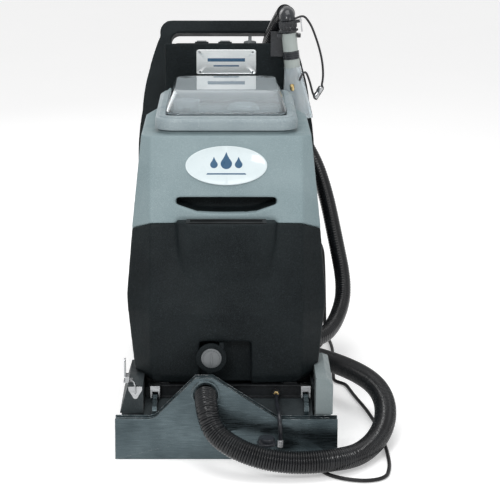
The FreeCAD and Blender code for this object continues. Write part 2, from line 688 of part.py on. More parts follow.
def under_lid():
    """What is seen through the clear lid: separator, float cage with its ball, and inlet cap."""
    tray = rounded_block("tray_blank", "123", "293", "595", "28", "crown_z - 4", "crown_z")
    drop = box("tray_drop", ("86", "318", "620"), ("112", "342", "640"))
    well = rod("tray_well", ("-88", "405", "620"), "z", "12", "20")
    pipe = rod("tray_pipe", ("38", "430", "620"), "z", "25", "20")
    tray = cut("tray_plate", tray, drop, well, pipe)
    cage = rod("cage_outer", ("-88", "405", "crown_z"), "z", "29", "46")
    room = rod("cage_room", ("-88", "405", "crown_z - 1"), "z", "26", "43")
    windows = [box("cage_window_%d" % number, low, high) for number, (low, high) in enumerate((
        (("-96", "370", "crown_z + 8"), ("-80", "440", "crown_z + 34")),
        (("-123", "397", "crown_z + 8"), ("-53", "413", "crown_z + 34"))))]
    float_cage = cut("float_cage", cage, room, *windows)
    ball = doc.addObject("Part::Sphere", "float_ball")
    bind(ball, "Radius", "16")
    place(ball, ("-88", "405", "crown_z + 16.5"))
    stem = cut("inlet_stem", rod("stem_outer", ("38", "430", "crown_z - 30"), "z", "24.8", "54"),
               rod("stem_inner", ("38", "430", "crown_z - 31"), "z", "21", "50"))
    hat = cone("inlet_hat", ("38", "430", "crown_z + 24"), "z", "37", "30", "9")
    legs = box("inlet_collar", ("18", "410", "crown_z + 20"), ("58", "450", "crown_z + 24"))
    fuse("inlet_baffle", stem, hat, legs)
    splash = box("splash_outer", ("-72", "325", "crown_z"), ("-30", "372", "crown_z + 22"))
    hollow = box("splash_inner", ("-70", "327", "crown_z"), ("-32", "370", "crown_z + 20"))
    group("separator_tray", fuse("tray", tray, cut("splash_box", splash, hollow)), float_cage)


def lid():
    skirt = rounded_block("skirt_outer", "lid_half", "lid_front", "lid_back", "42", "rim_low",
                          "rim_top")
    step = rounded_block("step_outer", "lid_half - 7", "lid_front + 7", "lid_back - 7", "38",
                         "rim_top - 2", "rim_top + 3")
    dome = loft("dome_outer",
                rounded("dome_foot", "dome_half", "300", "603", "30", "rim_top"),
                rounded("dome_head", "dome_top_half", "400", "600", "22", "dome_top"))
    room = loft("dome_inner",
                rounded("dome_room_foot", "dome_half - 4", "306", "599", "28", "rim_top - 1"),
                rounded("dome_room_head", "dome_top_half - 4", "402", "596", "20", "dome_top - 4"))
    under = rounded_block("skirt_inner", "lid_half - 4", "lid_front + 4", "lid_back - 4", "38",
                          "rim_low - 1", "rim_top - 4")
    throat = rounded_block("skirt_throat", "dome_half - 4", "306", "599", "28", "rim_top - 5",
                           "rim_top + 1")
    cut("dome_lid", fuse("lid_outer", skirt, step, dome), room, under, throat)
    outer = rounded_block("seal_outer", "lid_half - 8", "lid_front + 8", "lid_back - 8", "37",
                          "crown_z + 6", "crown_z + 9")
    inner = rounded_block("seal_inner", "128", "296", "592", "30", "crown_z + 5", "crown_z + 10")
    cut("lid_seal", outer, inner)


# ---------------------------------------------------------------- rear housing and controls
def leaned_loop(thing):
    """Lean the handle loop back from where it leaves the housing."""
    tilt = FreeCAD.Rotation(FreeCAD.Vector(-1, 0, 0), size("handle_lean"))
    thing.Placement = FreeCAD.Placement(FreeCAD.Vector(0, 672, 490), tilt)
    return thing


def rear_housing():
    base = box("base_outer", ("-base_half", "base_front", "base_floor"),
               ("base_half", "base_back", "base_top"))
    base_room = box("base_room", ("-base_half + 5", "base_front + 5", "base_floor - 1"),
                    ("base_half - 5", "base_back - 5", "base_top - 5"))
    profile = [("tower_front", "330"), ("795", "330"), ("795", "panel_back_z"),
               ("tower_front", "panel_front_z")]
    tower = slab("tower_outer", profile, "YZ", "-tower_half", "tower_half")
    inside = [("tower_front + 5", "320"), ("790", "320"), ("790", "panel_back_z - 4"),
              ("tower_front + 5", "panel_front_z - 8")]
    tower_room = slab("tower_room", inside, "YZ", "-tower_half + 5", "tower_half - 5")
    wings = box("wings", ("-207", "650", "337.5"), ("207", "700", "470"))
    loop = [("-211", "-70"), ("211", "-70"), ("211", "0", "3"), ("202", "119", "3"), ("187", "217", "2"),
            ("160", "305", "11"), ("134", "343"), ("-134", "343", "11"), ("-160", "305", "2"),
            ("-187", "217", "3"), ("-202", "119", "3"), ("-211", "0")]
    handle = leaned_loop(slab("loop_outer", loop, "XZ", "0", "handle_depth"))
    opening = [("-124", "232"), ("124", "232"), ("133", "290", "6"), ("115", "311"),
               ("-115", "311", "6"), ("-133", "290")]
    grip_room = leaned_loop(slab("loop_opening", opening, "XZ", "-40", "handle_depth + 30"))
    solid = fuse("housing_blank", tower, wings, cut("loop_blank", handle, grip_room), base)
    axle = rod("axle_bore", ("-300", "wheel_y", "120"), "x", "axle_radius", "600")
    outlet = rod("tower_outlet", ("0", "640", "575"), "y", "22.6", "40")
    inlet = rod("tower_inlet", ("110", "640", "575"), "y", "19", "40")
    vents = [box("vent_%d" % number, ("-60", "790", "%d" % (150 + 18 * number)),
                 ("60", "806", "%d" % (158 + 18 * number))) for number in range(6)]
    cord = rod("cord_bore", ("120", "780", "150"), "y", "9", "30")
    cut("rear_housing", solid, base_room, tower_room, axle, outlet, inlet, cord, *vents)


def on_panel(thing, x, back):
    """Stand a control on the sloped panel, back millimetres behind its front edge."""
    drop = size("panel_front_z") - size("panel_back_z")
    run = 795 - size("tower_front")
    slope = math.atan2(drop, run)
    spot = FreeCAD.Vector(x, size("tower_front") + back * math.cos(slope),
                          size("panel_front_z") - back * math.sin(slope))
    tilt = FreeCAD.Rotation(FreeCAD.Vector(-1, 0, 0), math.degrees(slope))
    thing.Placement = FreeCAD.Placement(spot, tilt)
    return thing


def controls():
    sheet_metal = [("-118", "8"), ("118", "8"), ("118", "104"), ("-118", "104")]
    bezels = []
    for name, x in (("left", -58), ("right", -3)):
        frame_edge = [("-16", "16"), ("16", "16"), ("16", "54"), ("-16", "54")]
        window = [("-12.6", "19.4"), ("12.6", "19.4"), ("12.6", "50.6"), ("-12.6", "50.6")]
        bezel = cut("rocker_bezel_%s" % name, slab("bezel_blank_" + name, frame_edge, "XY", "2.5", "8"),
                    slab("bezel_window_" + name, window, "XY", "2", "9"))
        bezel.Placement.Base.x = x
        bezels.append(bezel)
        key = [("20.4", "5"), ("35", "4"), ("49.6", "5"), ("49.6", "15"), ("35", "10.5"), ("20.4", "12")]
        on_panel(padded("rocker_switch_%s" % name, key, "YZ", "-11.6", "11.6"), x, 0)
    sheet_blank = padded("panel_sheet", sheet_metal, "XY", "0", "2.5", 5)
    on_panel(fuse("control_panel", sheet_blank, *bezels), 0, 0)
    knob_base = rod("knob_base", ("0", "35", "3"), "z", "15", "9")
    knob_ridge = box("knob_ridge", ("-4", "21", "12"), ("4", "49", "22"))
    on_panel(fuse("speed_knob", knob_base, knob_ridge), 56, 0)
    plate_edge = [("-70", "693"), ("70", "693"), ("70", "751"), ("-70", "751")]
    padded("nameplate", plate_edge, "XZ", "tower_front - 2.5", "tower_front", 5)
    group("nameplate_screws", *[
        rod("plate_screw_%d" % number, (x, "tower_front - 4", z), "y", "2.4", "1.5")
        for number, (x, z) in enumerate((("-62", "699"), ("62", "699"), ("-62", "745"), ("62", "745")))
    ])


def vacuum():
    barrel = rod("fan_barrel", ("0", "fan_y", "160"), "z", "62", "150")
    room = rod("fan_room", ("0", "fan_y", "166"), "z", "57", "26")
    eye = rod("fan_eye", ("0", "fan_y", "155"), "z", "20", "12")
    shaft = rod("fan_shaft_bore", ("0", "fan_y", "190"), "z", "5 + running_gap", "60")
    duct = rod("fan_duct", ("0", "fan_y", "309"), "z", "22", "220")
    blower = cut("blower", fuse("fan_body", barrel, duct), room, eye, shaft,
                 rod("fan_duct_bore", ("0", "fan_y", "300"), "z", "18", "260"))
    disc = rod("impeller_disc", ("0", "fan_y", "172"), "z", "54", "14")
    stub = rod("impeller_stub", ("0", "fan_y", "172"), "z", "5", "60")
    fuse("vacuum_impeller", disc, stub)
    elbow = hose("vacuum_duct", [(0, 728, 530), (0, 728, 558), (0, 712, 575), (0, 632, 575)], 21.5, 18)
    group("vacuum_motor", blower, elbow)
    route = [(110, 631, 575), (110, 655, 575), (110, 680, 575), (110, 718, 566), (112, 740, 540),
             (114, 745, 480), (116, 740, 350), (118, 712, 250), (119, 655, 150), (120, 622, 100),
             (120, 595, 80), (120, 575, 78), (120, 562.5, 78)]
    hose("intake_riser", route, 18, 15)
    rings = []
    for name, x, radius in (("outlet", "0", "22.8"), ("inlet", "110", "18.6")):
        ring = rod(name + "_seal_outer", (x, "621.5", "575"), "y", radius + " + 7", "16")
        rings.append(cut(name + "_seal", ring, rod(name + "_seal_bore", (x, "620", "575"), "y",
                                                   radius, "20")))
    group("duct_seals", *rings)


def running_gear():
    rod("rear_axle", ("-231", "wheel_y", "wheel_radius"), "x", "axle_radius", "462")
    tyre = [("-wheel_width / 2 + 4", "84"), ("wheel_width / 2 - 4", "84"),
            ("wheel_width / 2 - 1", "104"), ("wheel_width / 2 - 8", "wheel_radius - 0.5"),
            ("-wheel_width / 2 + 8", "wheel_radius - 0.5"), ("-wheel_width / 2 + 1", "104")]
    rim = [("-22", "axle_radius + running_gap"), ("22", "axle_radius + running_gap"), ("22", "22"),
           ("7", "26"), ("7", "72"), ("18", "78"), ("18", "84"), ("-18", "84"), ("-18", "78"), ("-7", "72"),
           ("-7", "26"), ("-22", "22")]
    for side, sign in (("left", "-"), ("right", "")):
        at = (sign + "wheel_x", "wheel_y", "120")
        turned("rear_tyre_" + side, tyre, at)
        turned("rear_hub_" + side, rim, at)


def plumbing():
    tank = rod("pump_barrel", ("-75", "430", "76"), "y", "30", "90")
    foot = box("pump_foot", ("-150", "445", "104"), ("-60", "505", "rail_low"))
    head = rod("pump_head_disc", ("-75", "520", "76"), "y", "25", "28")
    port = rod("pump_port", ("-75", "548", "76"), "y", "7", "12")
    fuse("spray_pump", tank, foot, head, port)
    route = [(-75, 428, 84), (-72, 400, 92), (-58, 360, 100), (-36, 300, 112), (-14, 220, 122),
             (40, 160, 123), (90, 132, 123), (102, 122, 121), (105, 112.5, 117)]
    feed = hose("pump_line", route, 4, 2.5)
    tool_feed = hose("supply_tube", [(176, 730, 300), (205, 725, 298), (237, 708, 262),
                                     (241, 698, 200), (241, 660, 130), (240, 605, 62),
                                     (225, 572, 40), (170, 560, 40), (90, 568, 48),
                                     (0, 576, 60)], 4)
    fitting = rod("fitting_stem", ("105", "86", "112"), "y", "4.9", "24")
    hexagon = rod("fitting_head", ("105", "84", "112"), "y", "8", "8")
    group("solution_lines", feed, tool_feed, fuse("line_fitting", fitting, hexagon))
    bar = rod("bar_pipe", ("-150", "56", "62"), "x", "6", "300")
    legs = [box("bar_leg_%s" % side, (x, "53", "62"), (x + " + 6", "59", "79"))
            for side, x in (("left", "-103"), ("right", "97"))]
    jets = [cone("nozzle_%d" % number, (x, "56", "44"), "z", "2", "5", "14")
            for number, x in enumerate(("-120", "0", "120"))]
    fuse("spray_bar", bar, *legs, *jets)
    strap = hose("tether_strap", [(105, 79, 110), (105, 68, 107), (106, 40, 101), (108, 8, 98),
                                  (110, -14, 84), (111, -18, 62), (111, -18, 50)], 4.5)
    clip = rod("tether_clip", ("111", "-18", "34"), "z", "5.5", "16")
    cup = rod("dust_cap_cup", ("82", "-32", "50"), "z", "17", "12")
    knob = rod("dust_cap_rim", ("82", "-32", "46"), "z", "20", "5")
    group("tethered_cap", fuse("tether", strap, clip), fuse("dust_cap", cup, knob))


def hoses():
    block = box("port_block", ("96", "470", "56"), ("176", "562", "108"))
    front_spigot = rod("port_front", ("150", "450", "82"), "y", "19", "24")
    side_spigot = rod("port_side", ("172", "520", "82"), "x", "15", "22")
    bore = rod("port_bore", ("150", "446", "82"), "y", "15", "80")
    side_bore = rod("port_side_bore", ("140", "520", "82"), "x", "12", "60")
    ports = cut("manifold_body", fuse("port_body", block, front_spigot, side_spigot), bore,
                side_bore, rod("riser_bore", ("120", "500", "78"), "y", "15", "70"))
    group("hose_manifold", ports, doc.getObject("intake_riser"))
    floor_route = [(-36, -41, 94), (-27, -52, 83), (-7, -70, 69), (27, -86, 54), (78, -98, 40),
                   (148, -98, 32), (195, -90, 34), (232, -73, 31), (266, -46, 26), (309, 16, 28),
                   (338, 85, 46), (344, 160, 66), (328, 230, 80), (286, 290, 88), (240, 340, 90),
                   (195, 388, 88), (164, 420, 84), (150, 443, 82), (150, 467, 82)]
    hose("floor_hose", floor_route, size("floor_hose"), 20.5)
    tool_route = [(138, 686, 836), (135, 720, 828), (118, 744, 790), (106, 772, 754), (105, 842, 723),
                  (114, 866, 668), (134, 872, 610), (160, 872, 545), (196, 848, 490), (226, 812, 440),
                  (250, 775, 366), (268, 735, 280), (287, 690, 190), (288, 660, 140), (266, 606, 98),
                  (240, 553, 84), (218, 526, 82), (205, 520.5, 82), (192, 520, 82)]
    hose("tool_hose", tool_route, size("tool_hose"), 16.5)
    cord_route = [(120, 798, 150), (120, 836, 150), (129, 850, 126), (140, 857, 60), (180, 862, 10),
                  (245, 830, 5), (266, 700, 5), (256, 540, 5), (252, 444, 5), (278, 425, 5),
                  (294, 341, 5), (311, 273, 5), (325, 190, 5), (333, 110, 5), (336, 20, 5),
                  (334, -50, 5), (322, -104, 5), (285, -122, 5), (240, -114, 5), (206, -92, 5),
                  (190, -66, 5), (176, -44, 13), (168, -41, 15), (153, -41, 15)]
    wire = hose("cord_wire", cord_route, 4)
    grommet = rod("relief_collar", ("120", "800", "150"), "y", "13", "8")
    neck = cone("relief_neck", ("120", "808", "150"), "y", "10", "6", "14")
    through = rod("relief_bore", ("120", "795", "150"), "y", "4.5", "40")
    relief = cut("strain_relief", fuse("relief_body", grommet, neck), through)
    body = box("plug_grip", ("104", "-57", "3"), ("138", "-25", "27"))
    nose = cone("plug_tail", ("138", "-41", "15"), "x", "9", "6", "14")
    pins = [rod("plug_pin_%d" % number, ("85", y, "15"), "x", "2.4", "20")
            for number, y in enumerate(("-50.5", "-31.5"))]
    plug = fuse("power_plug", body, nose, *pins)
    group("power_cord", wire, relief, plug)


# ---------------------------------------------------------------- latch
def latch_base():
    base = box("latch_foot", ("-214", "56", "146"), ("-196", "80", "149"))
    cheeks = [box("latch_cheek_%s" % name, ("-210", low, "149"), ("-202", high, "160"))
              for name, low, high in (("front", "56", "59"), ("back", "77", "80"))]
    pin = rod("latch_pin", ("-206", "56", "155"), "y", "2", "24")
    return fuse("latch_base", base, pin, *cheeks)


def latch():
    handle = box("lever_blade", ("-213", "61", "158"), ("-209.5", "75", "190"))
    tip = rod("lever_tip", ("-213", "68", "190"), "x", "7", "3.5")
    heel = box("lever_heel", ("-210", "61", "151.5"), ("-202", "75", "159"))
    bore = rod("lever_bore", ("-206", "50", "155"), "y", "2 + running_gap", "40")
    cut("latch_lever", fuse("lever_body", handle, tip, heel), bore)
    wire = [(-200, 54, 157), (-194, 46, 155), (-189, 37.5, 150), (-188.5, 36.5, 138), (-189, 36.8, 129)]
    hose("latch_bail", wire, 1.6)


# ---------------------------------------------------------------- hand tool
def carried(thing):
    """Put a hand-tool piece, drawn upright about its own axis, into the holder."""
    tilt = FreeCAD.Rotation(FreeCAD.Vector(0, 1, 0), size("tool_tilt"))
    spot = FreeCAD.Vector(size("tool_x"), size("tool_y"), size("tool_z"))
    thing.Placement = FreeCAD.Placement(spot, tilt)
    return thing


def oval(name, half_x, half_y, radius, level):
    """Rounded rectangle about the hand tool's own axis."""
    return rounded(name, half_x, "-(%s)" % half_y, half_y, radius, level)


def hand_tool():
    outer = loft("head_outer", oval("head_foot", "36", "8", "6", "0"),
                 oval("head_middle", "30", "10", "9", "55"), oval("head_top", "20", "20", "19", "125"))
    inner = loft("head_inner", oval("head_room_foot", "33", "5", "4", "-1"),
                 oval("head_room_middle", "27", "7", "6", "55"),
                 oval("head_room_top", "16", "16", "15", "126"))
    carried(cut("tool_head", outer, inner))
    jet = rod("jet_body", ("-6", "-22", "72"), "z", "5", "16")
    stem = rod("jet_stem", ("-6", "-22", "78"), "y", "3.5", "7.5")
    nozzle = carried(fuse("jet", jet, stem))
    tubes = []
    for name, low, high, radius, bore in (
        ("tool_tube_lower", "125", "144", "18.5", "15"),
        ("tool_tube_upper", "163", "205", "tube_radius", "14"),
    ):
        tubes.append(cut(name, rod(name + "_outer", ("0", "0", low), "z", radius, high + " - " + low),
                         rod(name + "_bore", ("0", "0", low + " - 1"), "z", bore, "60")))
    carried(group("tool_tubes", *tubes))
    ring = rod("ring_outer", ("0", "0", "144"), "z", "19.5", "19")
    ring = cut("tool_ring", ring, rod("ring_bore", ("0", "0", "143"), "z", "15", "22"))
    sleeve = rod("sleeve_outer", ("0", "0", "205"), "z", "19", "12")
    collar = rod("sleeve_collar", ("0", "0", "209"), "z", "23", "4")
    sleeve = cut("tool_sleeve", fuse("sleeve_body", sleeve, collar),
                 rod("sleeve_bore", ("0", "0", "204"), "z", "14", "20"))
    grip = rod("grip_outer", ("0", "0", "217"), "z", "21", "17")
    lug = box("grip_lug", ("18", "-6", "226"), ("27", "6", "234"))
    valve = cut("tool_valve", fuse("grip_body", grip, lug),
                rod("grip_bore", ("0", "0", "216"), "z", "14", "20"))
    blade = box("trigger_blade", ("29.5", "-5", "205"), ("32.5", "5", "236"))
    heel = rod("trigger_heel", ("30.5", "-5", "232"), "y", "3", "10")
    carried(fuse("tool_trigger", blade, heel))
    upright = rod("cuff_upright", ("141.5", "tool_y", "822.5"), "z", "18", "10.5")
    knuckle = doc.addObject("Part::Sphere", "cuff_knuckle")
    bind(knuckle, "Radius", "18")
    place(knuckle, ("141.5", "tool_y", "833"))
    spout = rod("cuff_spout", ("141.5", "tool_y", "833"), "y", "18", "34")
    cuff = fuse("tool_cuff", upright, knuckle, spout)
    sleeved = carried(fuse("sleeved_valve", sleeve, valve))
    group("tool_grip", carried(ring), fuse("valve_and_cuff", sleeved, cuff))
    loop = [(164, 640, 829), (180, 641, 835), (197, 646, 813), (214, 651, 770), (226, 655, 725),
            (229, 660, 685), (223, 664, 655), (212, 664, 640), (205, 660, 646), (196, 650, 680),
            (186, 636, 705), (176, 622, 700), (170, 616, 684)]
    tube = hose("tool_loop", loop, 2.6)
    coupling = hose("tool_coupling", [(225.5, 663, 664), (209, 664, 636)], 6.5)
    group("tool_solution_tube", fuse("tool_loop_fitted", tube, coupling), nozzle)
    fork = cut("fork_ring", rod("fork_outer", ("146", "tool_y", "784"), "z", "28", "8"),
               rod("fork_bore", ("146", "tool_y", "783"), "z", "20.7", "10"),
               box("fork_gap", ("110", "600", "782"), ("182", "632", "794")))
    arm = box("fork_arm", ("112", "tool_y + 17", "784"), ("134", "tower_front", "792"))
    plate = box("fork_plate", ("104", "tower_front - 2.5", "735"), ("142", "tower_front", "794"))
    fuse("tool_holder", fork, arm, plate)


for build in (chassis, brush_head, brush, drive, shoe, hangers, solution_tank, drain, recovery_tank,
              badge, under_lid, lid, rear_housing, controls, vacuum, running_gear, plumbing, hoses,
              latch, hand_tool):
    build()

NODES = """
chassis_frame front_crossbar brush_deck left_end_housing belt_cover latch_plates brush_bearings
brush_motor drive_belt shoe_hangers solution_tank fill_strainer drain_flange rear_housing control_panel
nameplate nameplate_screws vacuum_motor duct_seals rear_axle spray_pump solution_lines
spray_bar tethered_cap hose_manifold floor_hose tool_hose power_cord tool_holder
brush_core brush_bristles brush_pulley_wheel motor_pulley_wheel
shoe_front_plate shoe_rear_shell hose_cuff shoe_arms drain_cap
recovery_tank badge_plate separator_tray inlet_baffle float_ball dome_lid lid_seal
rocker_switch_left rocker_switch_right speed_knob vacuum_impeller
rear_tyre_left rear_tyre_right rear_hub_left rear_hub_right latch_lever latch_bail
tool_head tool_tubes tool_grip tool_solution_tube tool_trigger
""".split()

doc.recompute()
faults = [item.Name for item in doc.Objects if "Invalid" in item.State or "Error" in item.State]
if faults:
    raise RuntimeError("these objects failed to build: %s" % faults)
os.makedirs("parts", exist_ok=True)
for node in NODES:
    thing = doc.getObject(node)
    shape = thing.Shape
    if shape.isNull() or not shape.isValid() or not shape.Solids:
        raise RuntimeError("the shape of %s is not sound" % node)
    thing.Label = node
    shape.exportStep("parts/%s.step" % node)
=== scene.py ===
import json
import math
import random

import bmesh
import bpy
import numpy as np
from mathutils import Matrix, Vector


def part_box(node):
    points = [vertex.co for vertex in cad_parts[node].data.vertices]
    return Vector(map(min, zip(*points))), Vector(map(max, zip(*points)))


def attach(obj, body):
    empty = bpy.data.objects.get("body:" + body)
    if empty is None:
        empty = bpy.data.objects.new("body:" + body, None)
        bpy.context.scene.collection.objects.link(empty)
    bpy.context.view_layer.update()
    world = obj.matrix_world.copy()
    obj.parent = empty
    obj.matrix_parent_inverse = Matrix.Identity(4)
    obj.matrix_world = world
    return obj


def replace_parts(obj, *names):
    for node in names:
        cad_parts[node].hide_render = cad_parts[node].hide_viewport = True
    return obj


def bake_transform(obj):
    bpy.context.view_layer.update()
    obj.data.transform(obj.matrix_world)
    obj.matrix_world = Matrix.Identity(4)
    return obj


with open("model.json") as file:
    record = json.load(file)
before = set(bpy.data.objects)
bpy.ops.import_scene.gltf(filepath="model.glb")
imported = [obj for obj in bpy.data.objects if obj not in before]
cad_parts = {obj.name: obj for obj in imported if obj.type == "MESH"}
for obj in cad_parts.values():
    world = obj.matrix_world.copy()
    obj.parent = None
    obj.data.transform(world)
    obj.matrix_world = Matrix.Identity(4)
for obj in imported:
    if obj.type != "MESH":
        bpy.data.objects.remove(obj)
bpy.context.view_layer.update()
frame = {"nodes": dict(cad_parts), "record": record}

RECORD = frame["record"]
SLOT_OF = {entry["node"]: entry["material_slot"] for entry in RECORD["subparts"]}
BODY_OF = {node: body for body, nodes in RECORD["behaviour"]["bodies"].items() for node in nodes}
JOINT = {joint["name"]: joint for joint in RECORD["behaviour"]["joints"]}
MM = 0.001
random.seed(11)

# Places in noise, which runs from 0 to 1, where a material starts and finishes changing.
PATCH_RANGE = (0.35, 0.7)
FLECK_LEVEL = 0.58
RUBBED_RANGE = (0.42, 0.62)
ROUGHNESS_RANGE = (0.3, 0.7)
# Agreement of a rounded normal with the flat one, from a face to a sharp edge.
EDGE_RANGE = (0.995, 0.9)
RUBBED_SCALE = 90
# Socket numbers of a colour mix node.
MIX_FIRST, MIX_SECOND, MIX_RESULT = 6, 7, 2

SAME_POINT = 1e-6
WELD_REACH = 1e-5
BEVEL_FROM_DEGREES = 38

# Limits of the walk along a hose's mesh: its longest count of steps, how far from the middle a cut
# may be, in radii, and the fewest cuts that still count as a ring.
MOST_STEPS = 3000
NEAR_MIDDLE = 1.6
FEWEST_CUTS = 8
ASIDE = (0.13, 0.31, 0.94)


# ---------------------------------------------------------------- materials
class Recipe:
    """One procedural material around a Principled shader, in metres of the machine's own frame."""

    def __init__(self, name, colour, roughness, metallic=0.0):
        self.material = bpy.data.materials.new(name)
        self.material.use_nodes = True
        self.tree = self.material.node_tree
        self.shader = self.tree.nodes["Principled BSDF"]
        self.shader.inputs["Metallic"].default_value = metallic
        self.place = self.add("ShaderNodeTexCoord").outputs["Object"]
        self.colour = self.rgb(colour)
        self.roughness = self.number(roughness)
        self.normal = None

    def add(self, kind, **settings):
        made = self.tree.nodes.new(kind)
        for key, value in settings.items():
            setattr(made, key, value)
        return made

    def join(self, source, target):
        self.tree.links.new(source, target)

    def rgb(self, colour):
        made = self.add("ShaderNodeRGB")
        made.outputs[0].default_value = (*colour, 1)
        return made.outputs[0]

    def number(self, amount):
        made = self.add("ShaderNodeValue")
        made.outputs[0].default_value = amount
        return made.outputs[0]

    def noise(self, scale, detail=3.0, stretch=(1, 1, 1)):
        mapping = self.add("ShaderNodeMapping")
        mapping.inputs["Scale"].default_value = stretch
        self.join(self.place, mapping.inputs["Vector"])
        made = self.add("ShaderNodeTexNoise")
        made.inputs["Scale"].default_value = scale
        made.inputs["Detail"].default_value = detail
        self.join(mapping.outputs[0], made.inputs["Vector"])
        return made.outputs[0]

    def ramp(self, source, low, high, start=0.0, stop=1.0):
        made = self.add("ShaderNodeMapRange")
        limits = {"From Min": low, "From Max": high, "To Min": start, "To Max": stop}
        for key, value in limits.items():
            made.inputs[key].default_value = value
        self.join(source, made.inputs["Value"])
        return made.outputs[0]

    def blend_colour(self, share, colour):
        made = self.add("ShaderNodeMix", data_type="RGBA")
        self.join(share, made.inputs[0])
        self.join(self.colour, made.inputs[MIX_FIRST])
        made.inputs[MIX_SECOND].default_value = (*colour, 1)
        self.colour = made.outputs[MIX_RESULT]
        return self

    def mottle(self, colour, scale, amount, stretch=(1, 1, 1)):
        """Broad, soft variation towards another colour."""
        patches = self.ramp(self.noise(scale, 4, stretch), *PATCH_RANGE, 0.0, amount)
        return self.blend_colour(patches, colour)

    def speckle(self, colour, scale, amount, spread=0.05):
        """Fine flecks, as in moulded plastic with mixed pigment or hammered paint."""
        flecks = self.ramp(self.noise(scale, 1), FLECK_LEVEL, FLECK_LEVEL + spread, 0.0, amount)
        return self.blend_colour(flecks, colour)

    def wear(self, colour, radius, amount):
        """Rubbed edges, broken up by noise."""
        rounded = self.add("ShaderNodeBevel", samples=4)
        rounded.inputs["Radius"].default_value = radius
        flat = self.add("ShaderNodeNewGeometry").outputs["Normal"]
        dot = self.add("ShaderNodeVectorMath", operation="DOT_PRODUCT")
        self.join(rounded.outputs[0], dot.inputs[0])
        self.join(flat, dot.inputs[1])
        edge = self.ramp(dot.outputs["Value"], *EDGE_RANGE, 0.0, amount)
        patch = self.ramp(self.noise(RUBBED_SCALE, 4), *RUBBED_RANGE)
        both = self.add("ShaderNodeMath", operation="MULTIPLY")
        self.join(edge, both.inputs[0])
        self.join(patch, both.inputs[1])
        return self.blend_colour(both.outputs[0], colour)

    def uneven(self, scale, low, high, stretch=(1, 1, 1)):
        """Roughness that varies between two values."""
        patches = self.noise(scale, 4, stretch)
        self.roughness = self.ramp(patches, *ROUGHNESS_RANGE, low, high)
        return self

    def bump(self, scale, height, stretch=(1, 1, 1), detail=2.0):
        """Relief of a height in metres, on top of any before it."""
        made = self.add("ShaderNodeBump")
        made.inputs["Strength"].default_value = 1.0
        made.inputs["Distance"].default_value = height
        self.join(self.noise(scale, detail, stretch), made.inputs["Height"])
        if self.normal:
            self.join(self.normal, made.inputs["Normal"])
        self.normal = made.outputs[0]
        return self

    def put(self, **values):
        """Sets sockets of the shader, named with _ in place of spaces."""
        for key, value in values.items():
            self.shader.inputs[key.replace("_", " ")].default_value = value
        return self

    def done(self):
        self.join(self.colour, self.shader.inputs["Base Color"])
        self.join(self.roughness, self.shader.inputs["Roughness"])
        if self.normal:
            self.join(self.normal, self.shader.inputs["Normal"])
        return self.material


def tank_plastic(name, colour, fleck, amount, shine=0.25):
    """Rotomoulded plastic: a fine leathery skin, mixed pigment and faint handling marks."""
    recipe = Recipe(name, colour, 0.5).mottle(fleck, 7, amount * 0.4).speckle(fleck, 1500, amount)
    recipe.speckle(fleck, 420, amount * 0.45, 0.14).put(Specular_IOR_Level=shine)
    recipe.wear(fleck, 2.5 * MM, 0.35).uneven(30, 0.42, 0.6)
    return recipe.bump(1300, 0.22 * MM).bump(430, 0.35 * MM).bump(120, 0.15 * MM).done()


def painted(name, colour, fleck, grain, rough=0.42):
    """Textured paint, chipped to bare metal along its edges."""
    recipe = Recipe(name, colour, rough).mottle(fleck, 12, 0.3).speckle(fleck, grain, 0.5)
    recipe.wear([0.3, 0.3, 0.31], 0.9 * MM, 0.5).uneven(45, rough - 0.08, rough + 0.14)
    recipe.put(Specular_IOR_Level=0.18)
    return recipe.bump(grain, 0.18 * MM).done()


def bare_metal(name, colour, rough, stretch, dull):
    """Metal with a drawn grain, cloudy handling marks and brighter rubbed edges."""
    recipe = Recipe(name, colour, rough, 1.0).mottle(dull, 9, 0.9).mottle(dull, 40, 0.5, stretch)
    recipe.mottle(colour, 3, 0.6)
    recipe.wear([0.93, 0.94, 0.95], 0.8 * MM, 0.9).uneven(30, rough - 0.07, rough + 0.14, stretch)
    return recipe.bump(300, 0.03 * MM, stretch).bump(25, 0.25 * MM).done()


def moulded_plastic(name, colour, rough, fleck, coat=0.0):
    """Injection-moulded plastic or rubber with scuffed edges and a thin gloss where it has one."""
    recipe = Recipe(name, colour, rough).mottle(fleck, 20, 0.25).wear(fleck, 0.8 * MM, 0.4)
    recipe.uneven(60, rough - 0.06, rough + 0.1).put(Coat_Weight=coat, Specular_IOR_Level=0.25)
    return recipe.bump(900, 0.05 * MM).done()


def see_through(name, tint, rough, clear, ior=1.3):
    """Frosted or clear plastic. clear is the share of light that passes."""
    recipe = Recipe(name, tint, rough).mottle([0.95, 0.97, 0.98], 25, 0.4)
    recipe.uneven(40, rough, rough + 0.08).put(Transmission_Weight=clear, IOR=ior)
    return recipe.bump(55, 0.08 * MM).done()


def dome_plastic():
    """Tinted clear plastic that is milky where it lies flat and clear on its sloping sides."""
    recipe = Recipe("dome_plastic", [0.6, 0.67, 0.7], 0.03).mottle([0.7, 0.76, 0.79], 18, 0.5)
    recipe.uneven(35, 0.015, 0.07).bump(22, 0.05 * MM).put(IOR=1.42)
    split = recipe.add("ShaderNodeSeparateXYZ")
    recipe.join(recipe.add("ShaderNodeNewGeometry").outputs["Normal"], split.inputs[0])
    clear = recipe.ramp(split.outputs["Z"], 0.86, 0.995, 0.97, 0.6)
    recipe.join(clear, recipe.shader.inputs["Transmission Weight"])
    return recipe.done()


